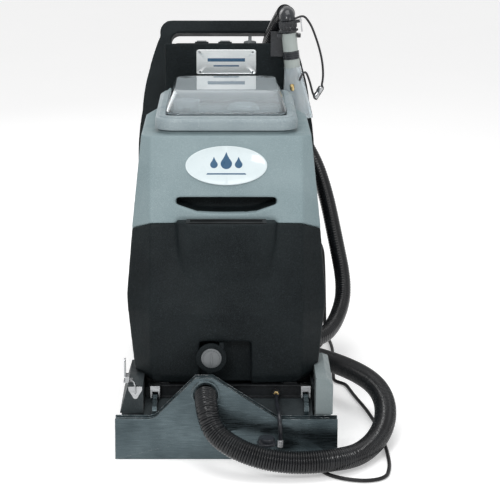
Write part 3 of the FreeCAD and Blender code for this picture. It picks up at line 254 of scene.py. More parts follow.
FINISH = {
    "black_frame_steel": painted("black_frame_steel", [0.008, 0.009, 0.010],
                                 [0.04, 0.045, 0.05], 700),
    "textured_black_metal": painted("textured_black_metal", [0.018, 0.023, 0.026],
                                    [0.09, 0.11, 0.115], 1100, 0.5),
    "grey_cast_cover": painted("grey_cast_cover", [0.19, 0.23, 0.235],
                               [0.42, 0.47, 0.48], 800, 0.45),
    "bright_steel": bare_metal("bright_steel", [0.5, 0.51, 0.52], 0.24, (1, 1, 9),
                               [0.24, 0.25, 0.26]),
    "motor_enamel": painted("motor_enamel", [0.03, 0.03, 0.032], [0.09, 0.09, 0.09], 500, 0.35),
    "drive_rubber": moulded_plastic("drive_rubber", [0.014, 0.014, 0.014], 0.72,
                                    [0.05, 0.05, 0.05]),
    "black_tank_plastic": tank_plastic("black_tank_plastic", [0.0045, 0.0065, 0.0075],
                                       [0.042, 0.054, 0.058], 0.5, 0.09),
    "filter_mesh": moulded_plastic("filter_mesh", [0.012, 0.014, 0.015], 0.5, [0.06, 0.065, 0.07]),
    "grey_cap_plastic": moulded_plastic("grey_cap_plastic", [0.11, 0.12, 0.125], 0.35,
                                        [0.24, 0.25, 0.26], 0.25),
    "nameplate_silver": bare_metal("nameplate_silver", [0.97, 0.98, 0.98], 0.34, (1, 9, 40),
                                   [0.74, 0.78, 0.78]),
    "tubing_black": moulded_plastic("tubing_black", [0.015, 0.015, 0.016], 0.4, [0.06, 0.06, 0.06]),
    "spray_steel": bare_metal("spray_steel", [0.62, 0.62, 0.62], 0.3, (1, 12, 12), [0.4, 0.4, 0.4]),
    "rubber_cap": moulded_plastic("rubber_cap", [0.012, 0.013, 0.016], 0.3, [0.07, 0.08, 0.1], 0.3),
    "corrugated_hose": moulded_plastic("corrugated_hose", [0.0045, 0.005, 0.006], 0.22,
                                       [0.03, 0.034, 0.038], 0.25),
    "cord_rubber": moulded_plastic("cord_rubber", [0.01, 0.01, 0.011], 0.45, [0.04, 0.04, 0.04]),
    "holder_plastic": moulded_plastic("holder_plastic", [0.014, 0.015, 0.018], 0.26,
                                      [0.07, 0.08, 0.09], 0.5),
    "brush_core_plastic": moulded_plastic("brush_core_plastic", [0.4, 0.4, 0.4], 0.5,
                                          [0.6, 0.6, 0.6]),
    "bristle_nylon": moulded_plastic("bristle_nylon", [0.03, 0.05, 0.12], 0.4, [0.1, 0.14, 0.24]),
    "shoe_aluminium": bare_metal("shoe_aluminium", [0.12, 0.155, 0.168], 0.26, (1, 22, 22),
                                 [0.028, 0.04, 0.046]),
    "grey_tank_plastic": tank_plastic("grey_tank_plastic", [0.165, 0.225, 0.24],
                                      [0.38, 0.46, 0.48], 0.5),
    "frosted_plastic": see_through("frosted_plastic", [0.6, 0.66, 0.68], 0.3, 0.4),
    "clear_plastic": see_through("clear_plastic", [0.8, 0.88, 0.92], 0.06, 0.7, 1.49),
    "float_white": moulded_plastic("float_white", [0.78, 0.79, 0.79], 0.3, [0.9, 0.9, 0.9], 0.3),
    "tyre_rubber": moulded_plastic("tyre_rubber", [0.016, 0.016, 0.017], 0.75, [0.06, 0.06, 0.058]),
    "wheel_hub_plastic": moulded_plastic("wheel_hub_plastic", [0.2, 0.21, 0.22], 0.45,
                                         [0.32, 0.33, 0.34]),
    "tool_tube_grey": moulded_plastic("tool_tube_grey", [0.34, 0.38, 0.365], 0.34,
                                      [0.48, 0.5, 0.48], 0.2),
    "clear_tube": moulded_plastic("clear_tube", [0.012, 0.012, 0.013], 0.25,
                                  [0.06, 0.06, 0.07], 0.4),
    "trigger_metal": bare_metal("trigger_metal", [0.6, 0.6, 0.62], 0.28, (1, 9, 1),
                                [0.42, 0.42, 0.43]),
}
DOME = dome_plastic()
BADGE_WHITE = moulded_plastic("badge_white", [0.6, 0.68, 0.7], 0.28, [0.7, 0.76, 0.78], 0.4)
MOTIF_BLUE = moulded_plastic("motif_blue", [0.03, 0.09, 0.17], 0.3, [0.08, 0.16, 0.26], 0.5)
BRASS = bare_metal("brass", [0.78, 0.58, 0.27], 0.26, (1, 6, 1), [0.5, 0.36, 0.16])
RIM_SILVER = tank_plastic("rim_silver", [0.16, 0.21, 0.23], [0.5, 0.56, 0.58], 0.7, 0.5)


# ---------------------------------------------------------------- pieces
def shape(name, points, faces, finish, body, slot, sharp=35):
    """A new piece from points and faces, riding on a body."""
    mesh = bpy.data.meshes.new(name)
    mesh.from_pydata([tuple(point) for point in points], [], faces)
    grid = bmesh.new()
    grid.from_mesh(mesh)
    bmesh.ops.remove_doubles(grid, verts=grid.verts, dist=SAME_POINT)
    bmesh.ops.recalc_face_normals(grid, faces=grid.faces)
    grid.to_mesh(mesh)
    grid.free()
    mesh.shade_smooth()
    mesh.set_sharp_from_angle(angle=math.radians(sharp))
    mesh.materials.append(finish)
    thing = bpy.data.objects.new(name, mesh)
    bpy.context.scene.collection.objects.link(thing)
    if body:
        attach(thing, body)
    return thing


def standing_for(name, points, faces, node, finish=None, sharp=35):
    """A new piece shown in place of a CAD node, on the same body."""
    thing = shape(name, points, faces, finish or FINISH[SLOT_OF[node]], BODY_OF[node],
                  SLOT_OF[node], sharp)
    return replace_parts(thing, node)


def dress(node, width=0.7):
    """Keep a CAD node, round its edges by a width in millimetres and give it its finish."""
    thing = frame["nodes"][node]
    thing.data.materials.clear()
    thing.data.materials.append(FINISH[SLOT_OF[node]])
    weld = thing.modifiers.new("weld", "WELD")
    weld.merge_threshold = WELD_REACH
    edges = thing.modifiers.new("edges", "BEVEL")
    edges.width = width * MM
    edges.segments = 2
    edges.limit_method = "ANGLE"
    edges.angle_limit = math.radians(BEVEL_FROM_DEGREES)
    edges.harden_normals = True


def moulded(node, voxel, passes):
    """A soft-edged casting of a CAD node. Its surface is rebuilt from cells of a size in
    millimetres and relaxed a number of times, as moulded plastic has no sharp edges."""
    mesh = frame["nodes"][node].data.copy()
    mesh.materials.clear()
    thing = bpy.data.objects.new(node + "_moulded", mesh)
    bpy.context.scene.collection.objects.link(thing)
    grid = bmesh.new()
    grid.from_mesh(mesh)
    bmesh.ops.remove_doubles(grid, verts=grid.verts, dist=WELD_REACH)
    grid.to_mesh(mesh)
    grid.free()
    rebuilt = thing.modifiers.new("rebuilt", "REMESH")
    rebuilt.mode = "VOXEL"
    rebuilt.voxel_size = voxel * MM
    rebuilt.use_smooth_shade = True
    relaxed = thing.modifiers.new("relaxed", "SMOOTH")
    relaxed.factor = 0.5
    relaxed.iterations = passes
    depsgraph = bpy.context.evaluated_depsgraph_get()
    final = bpy.data.meshes.new_from_object(thing.evaluated_get(depsgraph))
    thing.modifiers.clear()
    thing.data = final
    final.shade_smooth()
    final.materials.clear()
    final.materials.append(FINISH[SLOT_OF[node]])
    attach(thing, BODY_OF[node])
    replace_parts(thing, node)
    return thing


def bridge(rings, closed=False, capped=True):
    """Points and faces of quads between rings of equal length."""
    count = len(rings[0])
    points = [point for ring in rings for point in ring]
    faces = []
    pairs = list(zip(range(len(rings) - 1), range(1, len(rings))))
    if closed:
        pairs.append((len(rings) - 1, 0))
    for first, second in pairs:
        for step in range(count):
            after = (step + 1) % count
            faces.append((first * count + step, first * count + after,
                          second * count + after, second * count + step))
    if capped and not closed:
        faces.append(tuple(range(count))[::-1])
        faces.append(tuple(range(len(points) - count, len(points))))
    return points, faces


def merge(*pieces):
    """Several (points, faces) pairs as one."""
    points, faces = [], []
    for more_points, more_faces in pieces:
        start = len(points)
        points += list(more_points)
        faces += [tuple(index + start for index in face) for face in more_faces]
    return points, faces


def spun(profile, sides=48, place=Matrix(), flutes=None):
    """Turned form about local Z from (radius, height) in millimetres. flutes is (count, depth, low,
    high): grooves cut into the stretch between two heights."""
    rings = []
    for radius, height in profile:
        ring = []
        for step in range(sides):
            angle = 2 * math.pi * step / sides
            reach = radius
            if flutes and flutes[2] <= height <= flutes[3]:
                reach -= flutes[1] * (0.5 - 0.5 * math.cos(flutes[0] * angle)) ** 2
            ring.append(place @ Vector((reach * math.cos(angle), reach * math.sin(angle), height)))
        rings.append(ring)
    return bridge(rings)


def block(place, low, high, edge):
    """A block between two corners in millimetres, with its upright and level edges eased."""
    rings = []
    for height, inset in ((low[2], edge), (low[2] + edge, 0), (high[2] - edge, 0), (high[2], edge)):
        left, front = low[0] + inset, low[1] + inset
        right, back = high[0] - inset, high[1] - inset
        corners = ((left + edge, front), (right - edge, front), (right, front + edge),
                   (right, back - edge), (right - edge, back), (left + edge, back),
                   (left, back - edge), (left, front + edge))
        rings.append([place @ Vector((x, y, height)) for x, y in corners])
    return bridge(rings)


def scaled(place):
    """A placement in metres for a form drawn in millimetres."""
    return place @ Matrix.Scale(MM, 4)


ALONG_X = Matrix.Rotation(math.radians(90), 4, "Y")
ALONG_Y = Matrix.Rotation(math.radians(-90), 4, "X")


def centre(node):
    low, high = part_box(node)
    return (low + high) / 2


def at(node, x, y, z):
    """A point at distances in millimetres from the lowest corner of a CAD node's box."""
    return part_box(node)[0] + Vector((x, y, z)) * MM


def centreline(node, start, heading, radius, stride=0.4):
    """Middle line of a round hose in a CAD node, found by slicing the mesh as it is walked."""
    mesh = frame["nodes"][node].data
    spots = np.array([vertex.co for vertex in mesh.vertices])
    ends = np.array([edge.vertices for edge in mesh.edges])
    first, second = spots[ends[:, 0]], spots[ends[:, 1]]
    here = np.array(start, float)
    facing = np.array(heading, float)
    facing /= np.linalg.norm(facing)
    line = []
    while len(line) < MOST_STEPS:
        before, beyond = (first - here) @ facing, (second - here) @ facing
        crossing = before * beyond < 0
        share = (before[crossing] / (before[crossing] - beyond[crossing]))[:, None]
        cut = first[crossing] + (second[crossing] - first[crossing]) * share
        cut = cut[np.linalg.norm(cut - here, axis=1) < NEAR_MIDDLE * radius]
        if len(cut) < FEWEST_CUTS:
            break
        across = np.cross(facing, ASIDE)
        across /= np.linalg.norm(across)
        upward = np.cross(across, facing)
        middle = here.copy()
        for axis in (across, upward):
            reach = (cut - here) @ axis
            middle = middle + axis * (reach.max() + reach.min()) / 2
        if line:
            step = middle - line[-1]
            facing = 0.5 * facing + 0.5 * step / np.linalg.norm(step)
            facing /= np.linalg.norm(facing)
        line.append(middle)
        here = middle + facing * radius * stride
    return relaxed_line(np.array(line), 3)


def relaxed_line(line, passes):
    """The line with each inner point drawn towards its neighbours."""
    line = line.copy()
    for _ in range(passes):
        line[1:-1] = (line[:-2] + 2 * line[1:-1] + line[2:]) / 4
    return line


def spaced(line, spacing):
    """The line again, with points a set distance apart."""
    lengths = np.concatenate([[0], np.cumsum(np.linalg.norm(np.diff(line, axis=0), axis=1))])
    marks = np.arange(0, lengths[-1], spacing)
    return np.stack([np.interp(marks, lengths, line[:, axis]) for axis in range(3)], axis=1)


def swept(line, radius_at, sides=32):
    """Tube along a line. radius_at gives the radius at a distance from its start."""
    rings = []
    across = None
    travelled = 0.0
    for index, point in enumerate(line):
        before = line[max(index - 1, 0)]
        after = line[min(index + 1, len(line) - 1)]
        facing = Vector(after - before).normalized()
        if across is None:
            across = facing.orthogonal().normalized()
        across = (across - facing * across.dot(facing)).normalized()
        upward = facing.cross(across)
        if index:
            travelled += float(np.linalg.norm(point - before))
        radius = radius_at(travelled)
        rings.append([
            Vector(point) + (across * math.cos(angle) + upward * math.sin(angle)) * radius
            for angle in (2 * math.pi * step / sides for step in range(sides))
        ])
    return bridge(rings)


def ribbed(outer, depth, pitch):
    """Radius of a corrugated hose with rounded ribs, along its length."""
    def radius_at(distance):
        return outer - depth * (0.5 - 0.5 * math.cos(2 * math.pi * distance / pitch)) ** 2

    return radius_at


def plain(radius):
    return lambda distance: radius


def rounded_ring(half_x, front, back, corner, height, steps=8):
    """Rounded rectangle across the machine, in metres."""
    ring = []
    for sign_x, y, turn in ((1, front, -90), (1, back, 0), (-1, back, 90), (-1, front, 180)):
        inward = corner if y == front else -corner
        for step in range(steps + 1):
            angle = math.radians(turn + 90 * step / steps)
            ring.append(Vector((
                sign_x * (half_x - corner) + corner * math.cos(angle),
                y + inward + corner * math.sin(angle), height)))
    return ring


# ---------------------------------------------------------------- tanks, lid and housing
# Box of the hand recess in the recovery tank. Faces inside it are painted black as shade.
RECESS_SHADE_LOW = at("dome_lid", 49, -82, -157)
RECESS_SHADE_HIGH = at("dome_lid", 257, -34, -127)


def tanks():
    """Both tanks and the rear housing. The faces inside the hand recess are painted black as shade:
    they take the black tank plastic to stand in for the shadow deep in the recess.
    """
    moulded("solution_tank", 3.0, 6)
    upper = moulded("recovery_tank", 3.0, 6)
    moulded("rear_housing", 3.0, 5)
    upper.data.materials.append(FINISH["black_tank_plastic"])
    # Painted shade: faces inside the hand recess take the black tank plastic, for the shadow in the
    # recess.
    for face in upper.data.polygons:
        if all(RECESS_SHADE_LOW[axis] < face.center[axis] < RECESS_SHADE_HIGH[axis] for axis in range(3)):
            face.material_index = 1


def lid():
    """Stepped rim in silver-grey, and a clear dome with a sloping front."""
    low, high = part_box("dome_lid")
    rim = high.z - 36 * MM
    profile = [(0, -25), (0, -8), (1.2, -3.5), (4, -0.8), (8, 0), (8.6, 2), (10, 3), (21, 3),
               (23, 1), (23, -4), (5.5, -5), (4, -7), (4, -25)]
    rings = []
    for inset, rise in profile:
        gap = inset * MM
        rings.append(rounded_ring(high.x - gap, low.y + gap, high.y - gap,
                                  max(42 * MM - gap, 16 * MM), rim + rise * MM))
    standing_for("lid_rim", *bridge(rings, closed=True), "dome_lid", RIM_SILVER)

    foot = (high.x - 22 * MM, low.y + 38 * MM, high.y - 15 * MM)
    head = (high.x - 39 * MM, low.y + 138 * MM, high.y - 18 * MM)
    shell = []
    for share, rise in ((0, 0), (0.06, 0.1), (0.3, 0.36), (0.62, 0.68), (0.84, 0.88), (0.93, 0.955),
                        (1.0, 0.985), (1.07, 0.998)):
        half, front, back = (a + (b - a) * share for a, b in zip(foot, head))
        shell.append(rounded_ring(half, front, back, (30 - 9 * share) * MM,
                                  rim + 2 * MM + 34 * MM * rise))
    for pull in (0.75, 0.4, 0.05):
        half = head[0] * pull
        middle = (head[1] + head[2]) / 2
        reach = (head[2] - head[1]) / 2 * pull
        shell.append(rounded_ring(half, middle - reach, middle + reach,
                                  min(20 * MM, reach * 0.5, half * 0.5), high.z - 0.1 * MM))
    points, faces = bridge(shell, capped=False)
    faces.append(tuple(range(len(points) - len(shell[0]), len(points))))
    dome = standing_for("lid_dome", points, faces, "dome_lid", DOME, 50)
    wall = dome.modifiers.new("wall", "SOLIDIFY")
    wall.thickness = 3 * MM
    wall.offset = -1
    dress("lid_seal", 0.6)


def badge():
    """Oval plate with a raised border and a plain water-drop motif."""
    low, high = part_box("badge_plate")
    slope = math.atan2(high.z - low.z, high.y - low.y)
    place = scaled(Matrix.Translation((low + high) / 2) @ Matrix.Rotation(slope, 4, "X"))
    half_wide = (high.x - low.x) / 2 / MM
    half_tall = math.hypot(high.y - low.y, high.z - low.z) / 2 / MM - 1

    def oval(share, height):
        return [place @ Vector((half_wide * share * math.cos(angle),
                                half_tall * share * math.sin(angle), height))
                for angle in (2 * math.pi * step / 96 for step in range(96))]

    profile = ((1.0, -1), (1.0, 0.4), (0.992, 0.85), (0.98, 1), (0.95, 1), (0.94, 0.7),
               (0.4, 0.72), (0.02, 0.72))
    rings = [oval(share, height) for share, height in profile]
    standing_for("badge_oval", *bridge(rings), "badge_plate", BADGE_WHITE)

    def raised(edge):
        """A flat figure standing just proud of the plate."""
        return bridge([[place @ Vector((x, y, height)) for x, y in edge] for height in (0.6, 0.95)])

    def drop(x, y, radius):
        """A drop: round below, drawn to a point above."""
        edge = []
        for step in range(48):
            angle = 2 * math.pi * step / 48
            pull = max(math.sin(angle), 0) ** 3
            edge.append((x + radius * math.cos(angle) * (1 - 0.75 * pull),
                         y + radius * math.sin(angle) * (1 + 1.1 * pull)))
        return raised(edge)

    drops = [drop(x, y, radius) for x, y, radius in ((-26, 2, 8), (0, 4, 12), (26, 2, 8))]
    bar = raised(((-42, -20), (42, -20), (40, -17), (-40, -17)))
    shape("badge_motif", *merge(*drops, bar), MOTIF_BLUE, BODY_OF["badge_plate"],
          SLOT_OF["badge_plate"])


def nameplate():
    """Brushed plate with a raised rim, a plain stripe and slotted screws."""
    low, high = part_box("nameplate")
    middle = (low + high) / 2
    half_x, half_z = (high.x - low.x) / 2, (high.z - low.z) / 2

    def edge(inset, depth):
        ring = rounded_ring(half_x - inset, -half_z + inset, half_z - inset, 5 * MM, 0)
        return [Vector((middle.x + point.x, high.y - depth, middle.z + point.y)) for point in ring]

    steps = ((0, 0), (0, 1.9), (0.5, 2.4), (2.2, 2.4), (2.8, 1.9), (20, 1.9))
    rings = [edge(inset * MM, depth * MM) for inset, depth in steps]
    standing_for("nameplate_sheet", *bridge(rings), "nameplate")
    bars = []
    for rise, half_wide, half_tall in ((5, 44, 4), (-9, 30, 1.6)):
        corners = ((-half_wide, -half_tall), (half_wide, -half_tall), (half_wide, half_tall),
                   (-half_wide, half_tall))
        bars.append(bridge([[
            Vector((middle.x + x * MM, high.y - depth * MM, middle.z + (rise + z) * MM))
            for x, z in corners] for depth in (1.8, 2.15)]))
    shape("nameplate_stripes", *merge(*bars), MOTIF_BLUE, "root", "nameplate_silver")
    dress("nameplate_screws", 0.3)


def seen_under_lid():
    """The tray, the baffle and the float, which show through the dome."""
    for node in ("separator_tray", "inlet_baffle", "float_ball"):
        dress(node, 0.6)


# ---------------------------------------------------------------- controls and front
def controls():
    """The sloped panel with its switches and knob."""
    dress("control_panel", 0.8)
    dress("rocker_switch_left", 0.8)
    dress("rocker_switch_right", 0.8)
    dress("speed_knob", 1.2)


def front_end():
    """Metalwork and covers round the shoe and the brush, and other pieces kept as designed."""
    for node, width in (("front_crossbar", 0.6), ("shoe_hangers", 0.5), ("shoe_arms", 0.5),
                        ("latch_plates", 0.5), ("latch_lever", 0.6), ("latch_bail", 0.2),
                        ("left_end_housing", 2.0), ("belt_cover", 2.0), ("brush_deck", 0.8),
                        ("shoe_front_plate", 0.8), ("shoe_rear_shell", 0.6), ("drain_flange", 1.0),
                        ("fill_strainer", 0.3), ("tool_holder", 0.8)):
        dress(node, width)


def drain_cap():
    """Domed cap with a grip bar and a fluted skirt."""
    low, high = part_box("drain_cap")
    middle = (low + high) / 2
    place = scaled(Matrix.Translation((middle.x, high.y, middle.z))
                   @ Matrix.Rotation(math.radians(90), 4, "X"))
    skirt = [(1, 0), (21, 0), (21, 24), (20, 25), (17.5, 25), (17.5, 26.5), (16.5, 27.6),
             (12, 28.4), (1, 28.8)]
    dome = spun(skirt, 72, place, (18, 0.9, 25, 27))
    grip = []
    for height, wide, tall in ((27.5, 2.6, 13), (30, 2.2, 12.6), (31, 1.4, 11.6)):
        grip.append([place @ Vector((wide * math.cos(a), tall * math.sin(a), height))
                     for a in (2 * math.pi * step / 32 for step in range(32))])
    standing_for("drain_cap_domed", *merge(dome, bridge(grip)), "drain_cap")


# ---------------------------------------------------------------- hoses and cord
def floor_hose():
    """Corrugated hose from the shoe's collar round to the manifold, in one run over the cuff."""
    radius = 23.3 * MM
    cuff_start = at("shoe_front_plate", 187.4, 13, 137.3)
    hose_start = at("shoe_front_plate", 194.5, -39.6, 93.4)
    cuff = centreline("hose_cuff", cuff_start, (0, -1, 0), radius)
    run = centreline("floor_hose", hose_start, (0.48, -0.58, -0.58), radius)
    line = spaced(relaxed_line(np.concatenate([cuff, run]), 6), 0.85 * MM)
    thing = shape("floor_hose_corrugated", *swept(line, ribbed(radius, 2.1 * MM, 5.1 * MM), 36),
                  FINISH["corrugated_hose"], None, "corrugated_hose", 60)
    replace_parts(thing, "floor_hose", "hose_cuff")
    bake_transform(thing)


def tool_hose():
    """Finely ribbed hose from the hand tool's elbow down behind the machine to the manifold."""
    radius = 19.3 * MM
    hose_start = at("tool_holder", 33.8, 56, 100.5)
    run = centreline("tool_hose", hose_start, (-0.085, 0.97, -0.23), radius)
    line = spaced(relaxed_line(run, 6), 1.1 * MM)
    thing = shape("tool_hose_ribbed", *swept(line, ribbed(radius, 0.9 * MM, 6.5 * MM), 32),
                  FINISH["corrugated_hose"], None, "corrugated_hose", 60)
    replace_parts(thing, "tool_hose")
    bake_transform(thing)


def power_cord():
    """Cord with a ringed strain relief and a moulded plug with round pins."""
    radius = 4 * MM
    cord_start = at("chassis_frame", 270, 702, 120)
    relief_start = at("chassis_frame", 270, 696, 120)
    run = centreline("power_cord", cord_start, (0, 1, 0), radius)
    line = spaced(relaxed_line(run, 2), 3 * MM)
    standing_for("cord_wire", *swept(line, plain(radius), 16), "power_cord")
    place = scaled(Matrix.Translation(relief_start) @ ALONG_Y)
    rings = [(4.5, 0), (13, 0), (13, 7), (12, 8), (10, 8)]
    for step in range(4):
        reach = 9.4 - step * 1.1
        rings += [(reach, 9 + step * 3), (reach, 10.6 + step * 3), (reach - 1.2, 10.8 + step * 3),
                  (reach - 1.2, 11.8 + step * 3)]
    rings.append((4.2, 22))
    standing_for("cord_relief", *spun(rings, 32, place), "power_cord")
    spots = [Vector(mount["pos_m"]) for mount in RECORD["mounts"] if mount["kind"] == "pin"]
    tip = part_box("power_cord")[0].x
    middle = sum(spots, Vector()) / len(spots)
    body = []
    for reach, half_y, half_z in ((19, 14, 10), (20, 16, 12), (39, 16, 12), (49, 14, 11),
                                  (55, 9, 9), (65, 6.5, 6.5), (68, 5, 5)):
        ring = []
        for step in range(32):
            angle = 2 * math.pi * step / 32
            fullness = 1.1 - 0.1 * abs(math.cos(2 * angle))
            ring.append(Vector((tip + reach * MM,
                                middle.y + half_y * MM * math.cos(angle) * fullness,
                                middle.z + half_z * MM * math.sin(angle) * fullness)))
        body.append(ring)
    standing_for("plug_body", *bridge(body), "power_cord")
    pins = []
    for spot in spots:
        start = Matrix.Translation((tip + 20 * MM, spot.y, spot.z))
        pins.append(spun([(2.4, 0), (2.4, 18.4), (1.7, 20)], 20,
                         scaled(start @ Matrix.Rotation(math.radians(-90), 4, "Y"))))
    thing = shape("plug_pins", *merge(*pins), FINISH["bright_steel"], "root", "bright_steel")
    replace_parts(thing, "power_cord")


def tether():
    """Strap from the brass fitting down to a knurled clip, and a round dust cap."""
    strap_start = at("front_crossbar", 267, -17.5, 11.8)
    run = centreline("tethered_cap", strap_start, (0, -1, -0.2), 4.5 * MM)
    standing_for("tether_strap", *swept(spaced(run, 2 * MM), plain(4.3 * MM), 20), "tethered_cap")
    clip = scaled(Matrix.Translation(at("front_crossbar", 273, -113, -64)))
    standing_for("tether_clip", *spun([(3.5, 0), (5.5, 1), (5.5, 15), (4, 16)], 60, clip,
                                      (20, 0.8, 1, 15)), "tethered_cap", FINISH["bright_steel"])
    cap = scaled(Matrix.Translation(at("front_crossbar", 244, -127, -52)))
    profile = [(18, 0), (20, 0.8), (20, 4.4), (17.6, 5), (17, 6), (17, 13), (15.4, 15.4),
               (10, 16), (0.4, 16)]
    standing_for("dust_cap", *spun(profile, 72, cap, (24, 0.8, 6, 13)), "tethered_cap")


def brass_fitting():
    """Brass fitting on the crossbar, beside the lines it ends."""
    dress("solution_lines", 0.3)
    place = scaled(Matrix.Translation(at("front_crossbar", 267, -11.2, 14)) @ ALONG_Y)
    profile = [(4.2, 0), (8, 0.6), (8.2, 7), (7, 8.2)]
    shape("brass_fitting", *spun(profile, 6, place), BRASS, "root", "tubing_black", 20)


# ---------------------------------------------------------------- hand tool
TOOL_FOOT = at("tool_holder", 65, 10, -145)
TUBE_RADIUS = 2.6 * MM


def tool_place():
    """Placement of the hand tool: its foot, leaning along the way it lifts out."""
    up = Vector(JOINT["tool_lift"]["axis"])
    return Matrix.Translation(TOOL_FOOT) @ Matrix.Rotation(math.atan2(up.x, up.z), 4, "Y")


def fuller(share):
    """A sine or cosine pushed outwards, so that a circle drawn from it has squarer sides."""
    return share * abs(share) ** -0.25


def tool_oval(place, half_x, half_y, height):
    """A squared oval across the hand tool."""
    ring = []
    for step in range(48):
        angle = 2 * math.pi * step / 48
        across, along = math.cos(angle), math.sin(angle)
        if abs(across) > SAME_POINT and abs(along) > SAME_POINT:
            across, along = fuller(across), fuller(along)
        ring.append(place @ Vector((half_x * across, half_y * along, height)))
    return ring


def hand_tool():
    """Clear hollow foot, two grey tubes, a ribbed ring, a fluted grip and the elbow."""
    place = scaled(tool_place())
    levels = ((35.5, 7.6, 0), (36, 8, 2), (34.6, 8.4, 16), (32, 9, 36), (29, 10.4, 56),
              (25.5, 13, 80), (22, 16.6, 104), (20, 19.6, 120), (20, 20, 125))
    wall = 3
    outer = [tool_oval(place, *level) for level in levels]
    inner = [tool_oval(place, half_x - wall, half_y - wall, height)
             for half_x, half_y, height in levels]
    points, faces = bridge(outer + inner[::-1], closed=True)
    standing_for("tool_head_clear", points, faces, "tool_head", sharp=50)

    lower = spun([(15, 125), (18.5, 125), (18.5, 144), (15, 144)], 48, place)
    upper = spun([(14, 163), (17.5, 163), (17.5, 205), (14, 205)], 48, place)
    standing_for("tool_tubes_grey", *merge(lower, upper), "tool_tubes")

    ring = [(15, 144)]
    for step in range(4):
        base = 144.4 + step * 4.6
        ring += [(18.6, base), (19.5, base + 0.6), (19.5, base + 3.4), (18.6, base + 4)]
    ring.append((15, 163))
    standing_for("tool_ring", *spun(ring, 48, place), "tool_grip")
    grip = [(14, 205), (18.4, 205.4), (19, 208), (22.4, 209), (23, 211), (22.4, 213), (19, 214),
            (19, 217), (20.8, 218), (21, 220), (21, 231), (20.4, 233.4), (14, 234)]
    standing_for("tool_grip_fluted", *spun(grip, 120, place, (20, 1.6, 218.5, 232)), "tool_grip")
    standing_for("tool_lug", *block(place, (17, -5.5, 226.4), (28.6, 5.5, 233.6), 1.2), "tool_grip")

    elbow_start = place @ Vector((0, 0, 232))
    corner = at("tool_holder", 37.5, 10, 98)
    bend = [corner + Vector((0, back, rise)) * MM
            for back, rise in ((4, 0.5), (14, 1.5), (24, 1), (34, 0))]
    line = [elbow_start, elbow_start.lerp(corner, 0.5), *bend]
    spacing = 1.2 * MM
    dense = spaced(relaxed_line(np.array([list(point) for point in line]), 1), spacing)
    length = spacing * len(dense)

    def elbow_radius(distance):
        """Eased at the start, and thicker where the hose is gripped."""
        if distance <= 1 * MM:
            return 17 * MM
        if distance < length - 7 * MM:
            return 18 * MM
        return 19.6 * MM

    standing_for("tool_elbow", *swept(dense, elbow_radius, 40), "tool_grip")
    tool_tube()
    dress("tool_trigger", 0.6)


def tool_tube():
    """Thin solution tube looping out from the grip, its coupling, and the brass jet."""
    outward = Vector((0.92, 0.06, 0.38))
    upper_end = at("tool_holder", 62.5, 8.2, 95.2)
    lower_end = at("tool_holder", 66.6, -15.4, -49.4)
    upper = centreline("tool_solution_tube", upper_end, outward, TUBE_RADIUS, 0.8)
    joined = np.concatenate([[upper_end - outward * 10 * MM], upper])
    lower = centreline("tool_solution_tube", lower_end, (0.3, 0.3, 0.9), TUBE_RADIUS, 0.8)
    tubes = [swept(spaced(line, 1.5 * MM), plain(TUBE_RADIUS), 14) for line in (joined, lower)]
    standing_for("tool_tube_loop", *merge(*tubes), "tool_solution_tube")
    start = at("tool_holder", 121.5, 31, -71)
    stop = at("tool_holder", 105, 32, -99)
    turn = (stop - start).to_track_quat("Z", "Y").to_matrix().to_4x4()
    place = scaled(Matrix.Translation(start) @ turn)
    knurl = [(3, 0), (5.5, 1), (6.5, 3), (6.5, 14), (5, 16), (5.4, 18), (6.4, 20), (6.4, 30),
             (3, 32)]
    standing_for("tool_coupling", *spun(knurl, 48, place, (16, 0.7, 3, 14)), "tool_solution_tube",
                 FINISH["bright_steel"])
    jet = scaled(tool_place() @ Matrix.Translation((-6 * MM, -22 * MM, 72 * MM)))
    barrel = spun([(2.4, 0), (3.6, 1), (5, 3), (5, 14), (3.4, 16)], 24, jet, (6, 0.6, 3, 14))
    stem = spun([(3.4, 0), (3.4, 7.5)], 20, jet @ Matrix.Translation((0, 0, 6)) @ ALONG_Y)
    standing_for("tool_jet", *merge(barrel, stem), "tool_solution_tube", BRASS)


# ---------------------------------------------------------------- running gear and the inside
# Tread grooves, in millimetres, and how many of a tyre's steps lie between two of them.
GROOVED_FROM = 117.5
GROOVE_DEPTH = 1.8
GROOVE_EVERY = 5
# The brush: rows of tufts, each of a few tapered bristles with three sides.
TUFT_COLUMNS = 36
TUFT_ROWS = 15
BRISTLES = 6
BRISTLE_FACES = ((0, 1, 4, 3), (1, 2, 5, 4), (2, 0, 3, 5), (0, 2, 1), (3, 4, 5))
ROOT_REACH = 21 * MM


def wheels():
    """Treaded tyres on dished hubs."""
    for side in ("left", "right"):
        middle = centre("rear_tyre_" + side)
        place = scaled(Matrix.Translation(middle) @ ALONG_X)
        tread = []
        profile = [(84, -18), (96, -20), (104, -21), (112, -18.6), (118.6, -14), (119.5, -10),
                   (119.5, -3), (117, -2), (117, 2), (119.5, 3), (119.5, 10), (118.6, 14),
                   (112, 18.6), (104, 21), (96, 20), (84, 18)]
        sides = 180
        for radius, height in profile:
            grooved = radius > GROOVED_FROM
            ring = []
            for step in range(sides):
                angle = 2 * math.pi * step / sides
                groove = GROOVE_DEPTH if grooved and step % GROOVE_EVERY == 0 else 0
                reach = radius - groove
                ring.append(place @ Vector((reach * math.cos(angle), reach * math.sin(angle),
                                            height)))
            tread.append(ring)
        standing_for("tyre_treaded_" + side, *bridge(tread, closed=True), "rear_tyre_" + side)
        dress("rear_hub_" + side, 1.2)
    dress("rear_axle", 0.8)


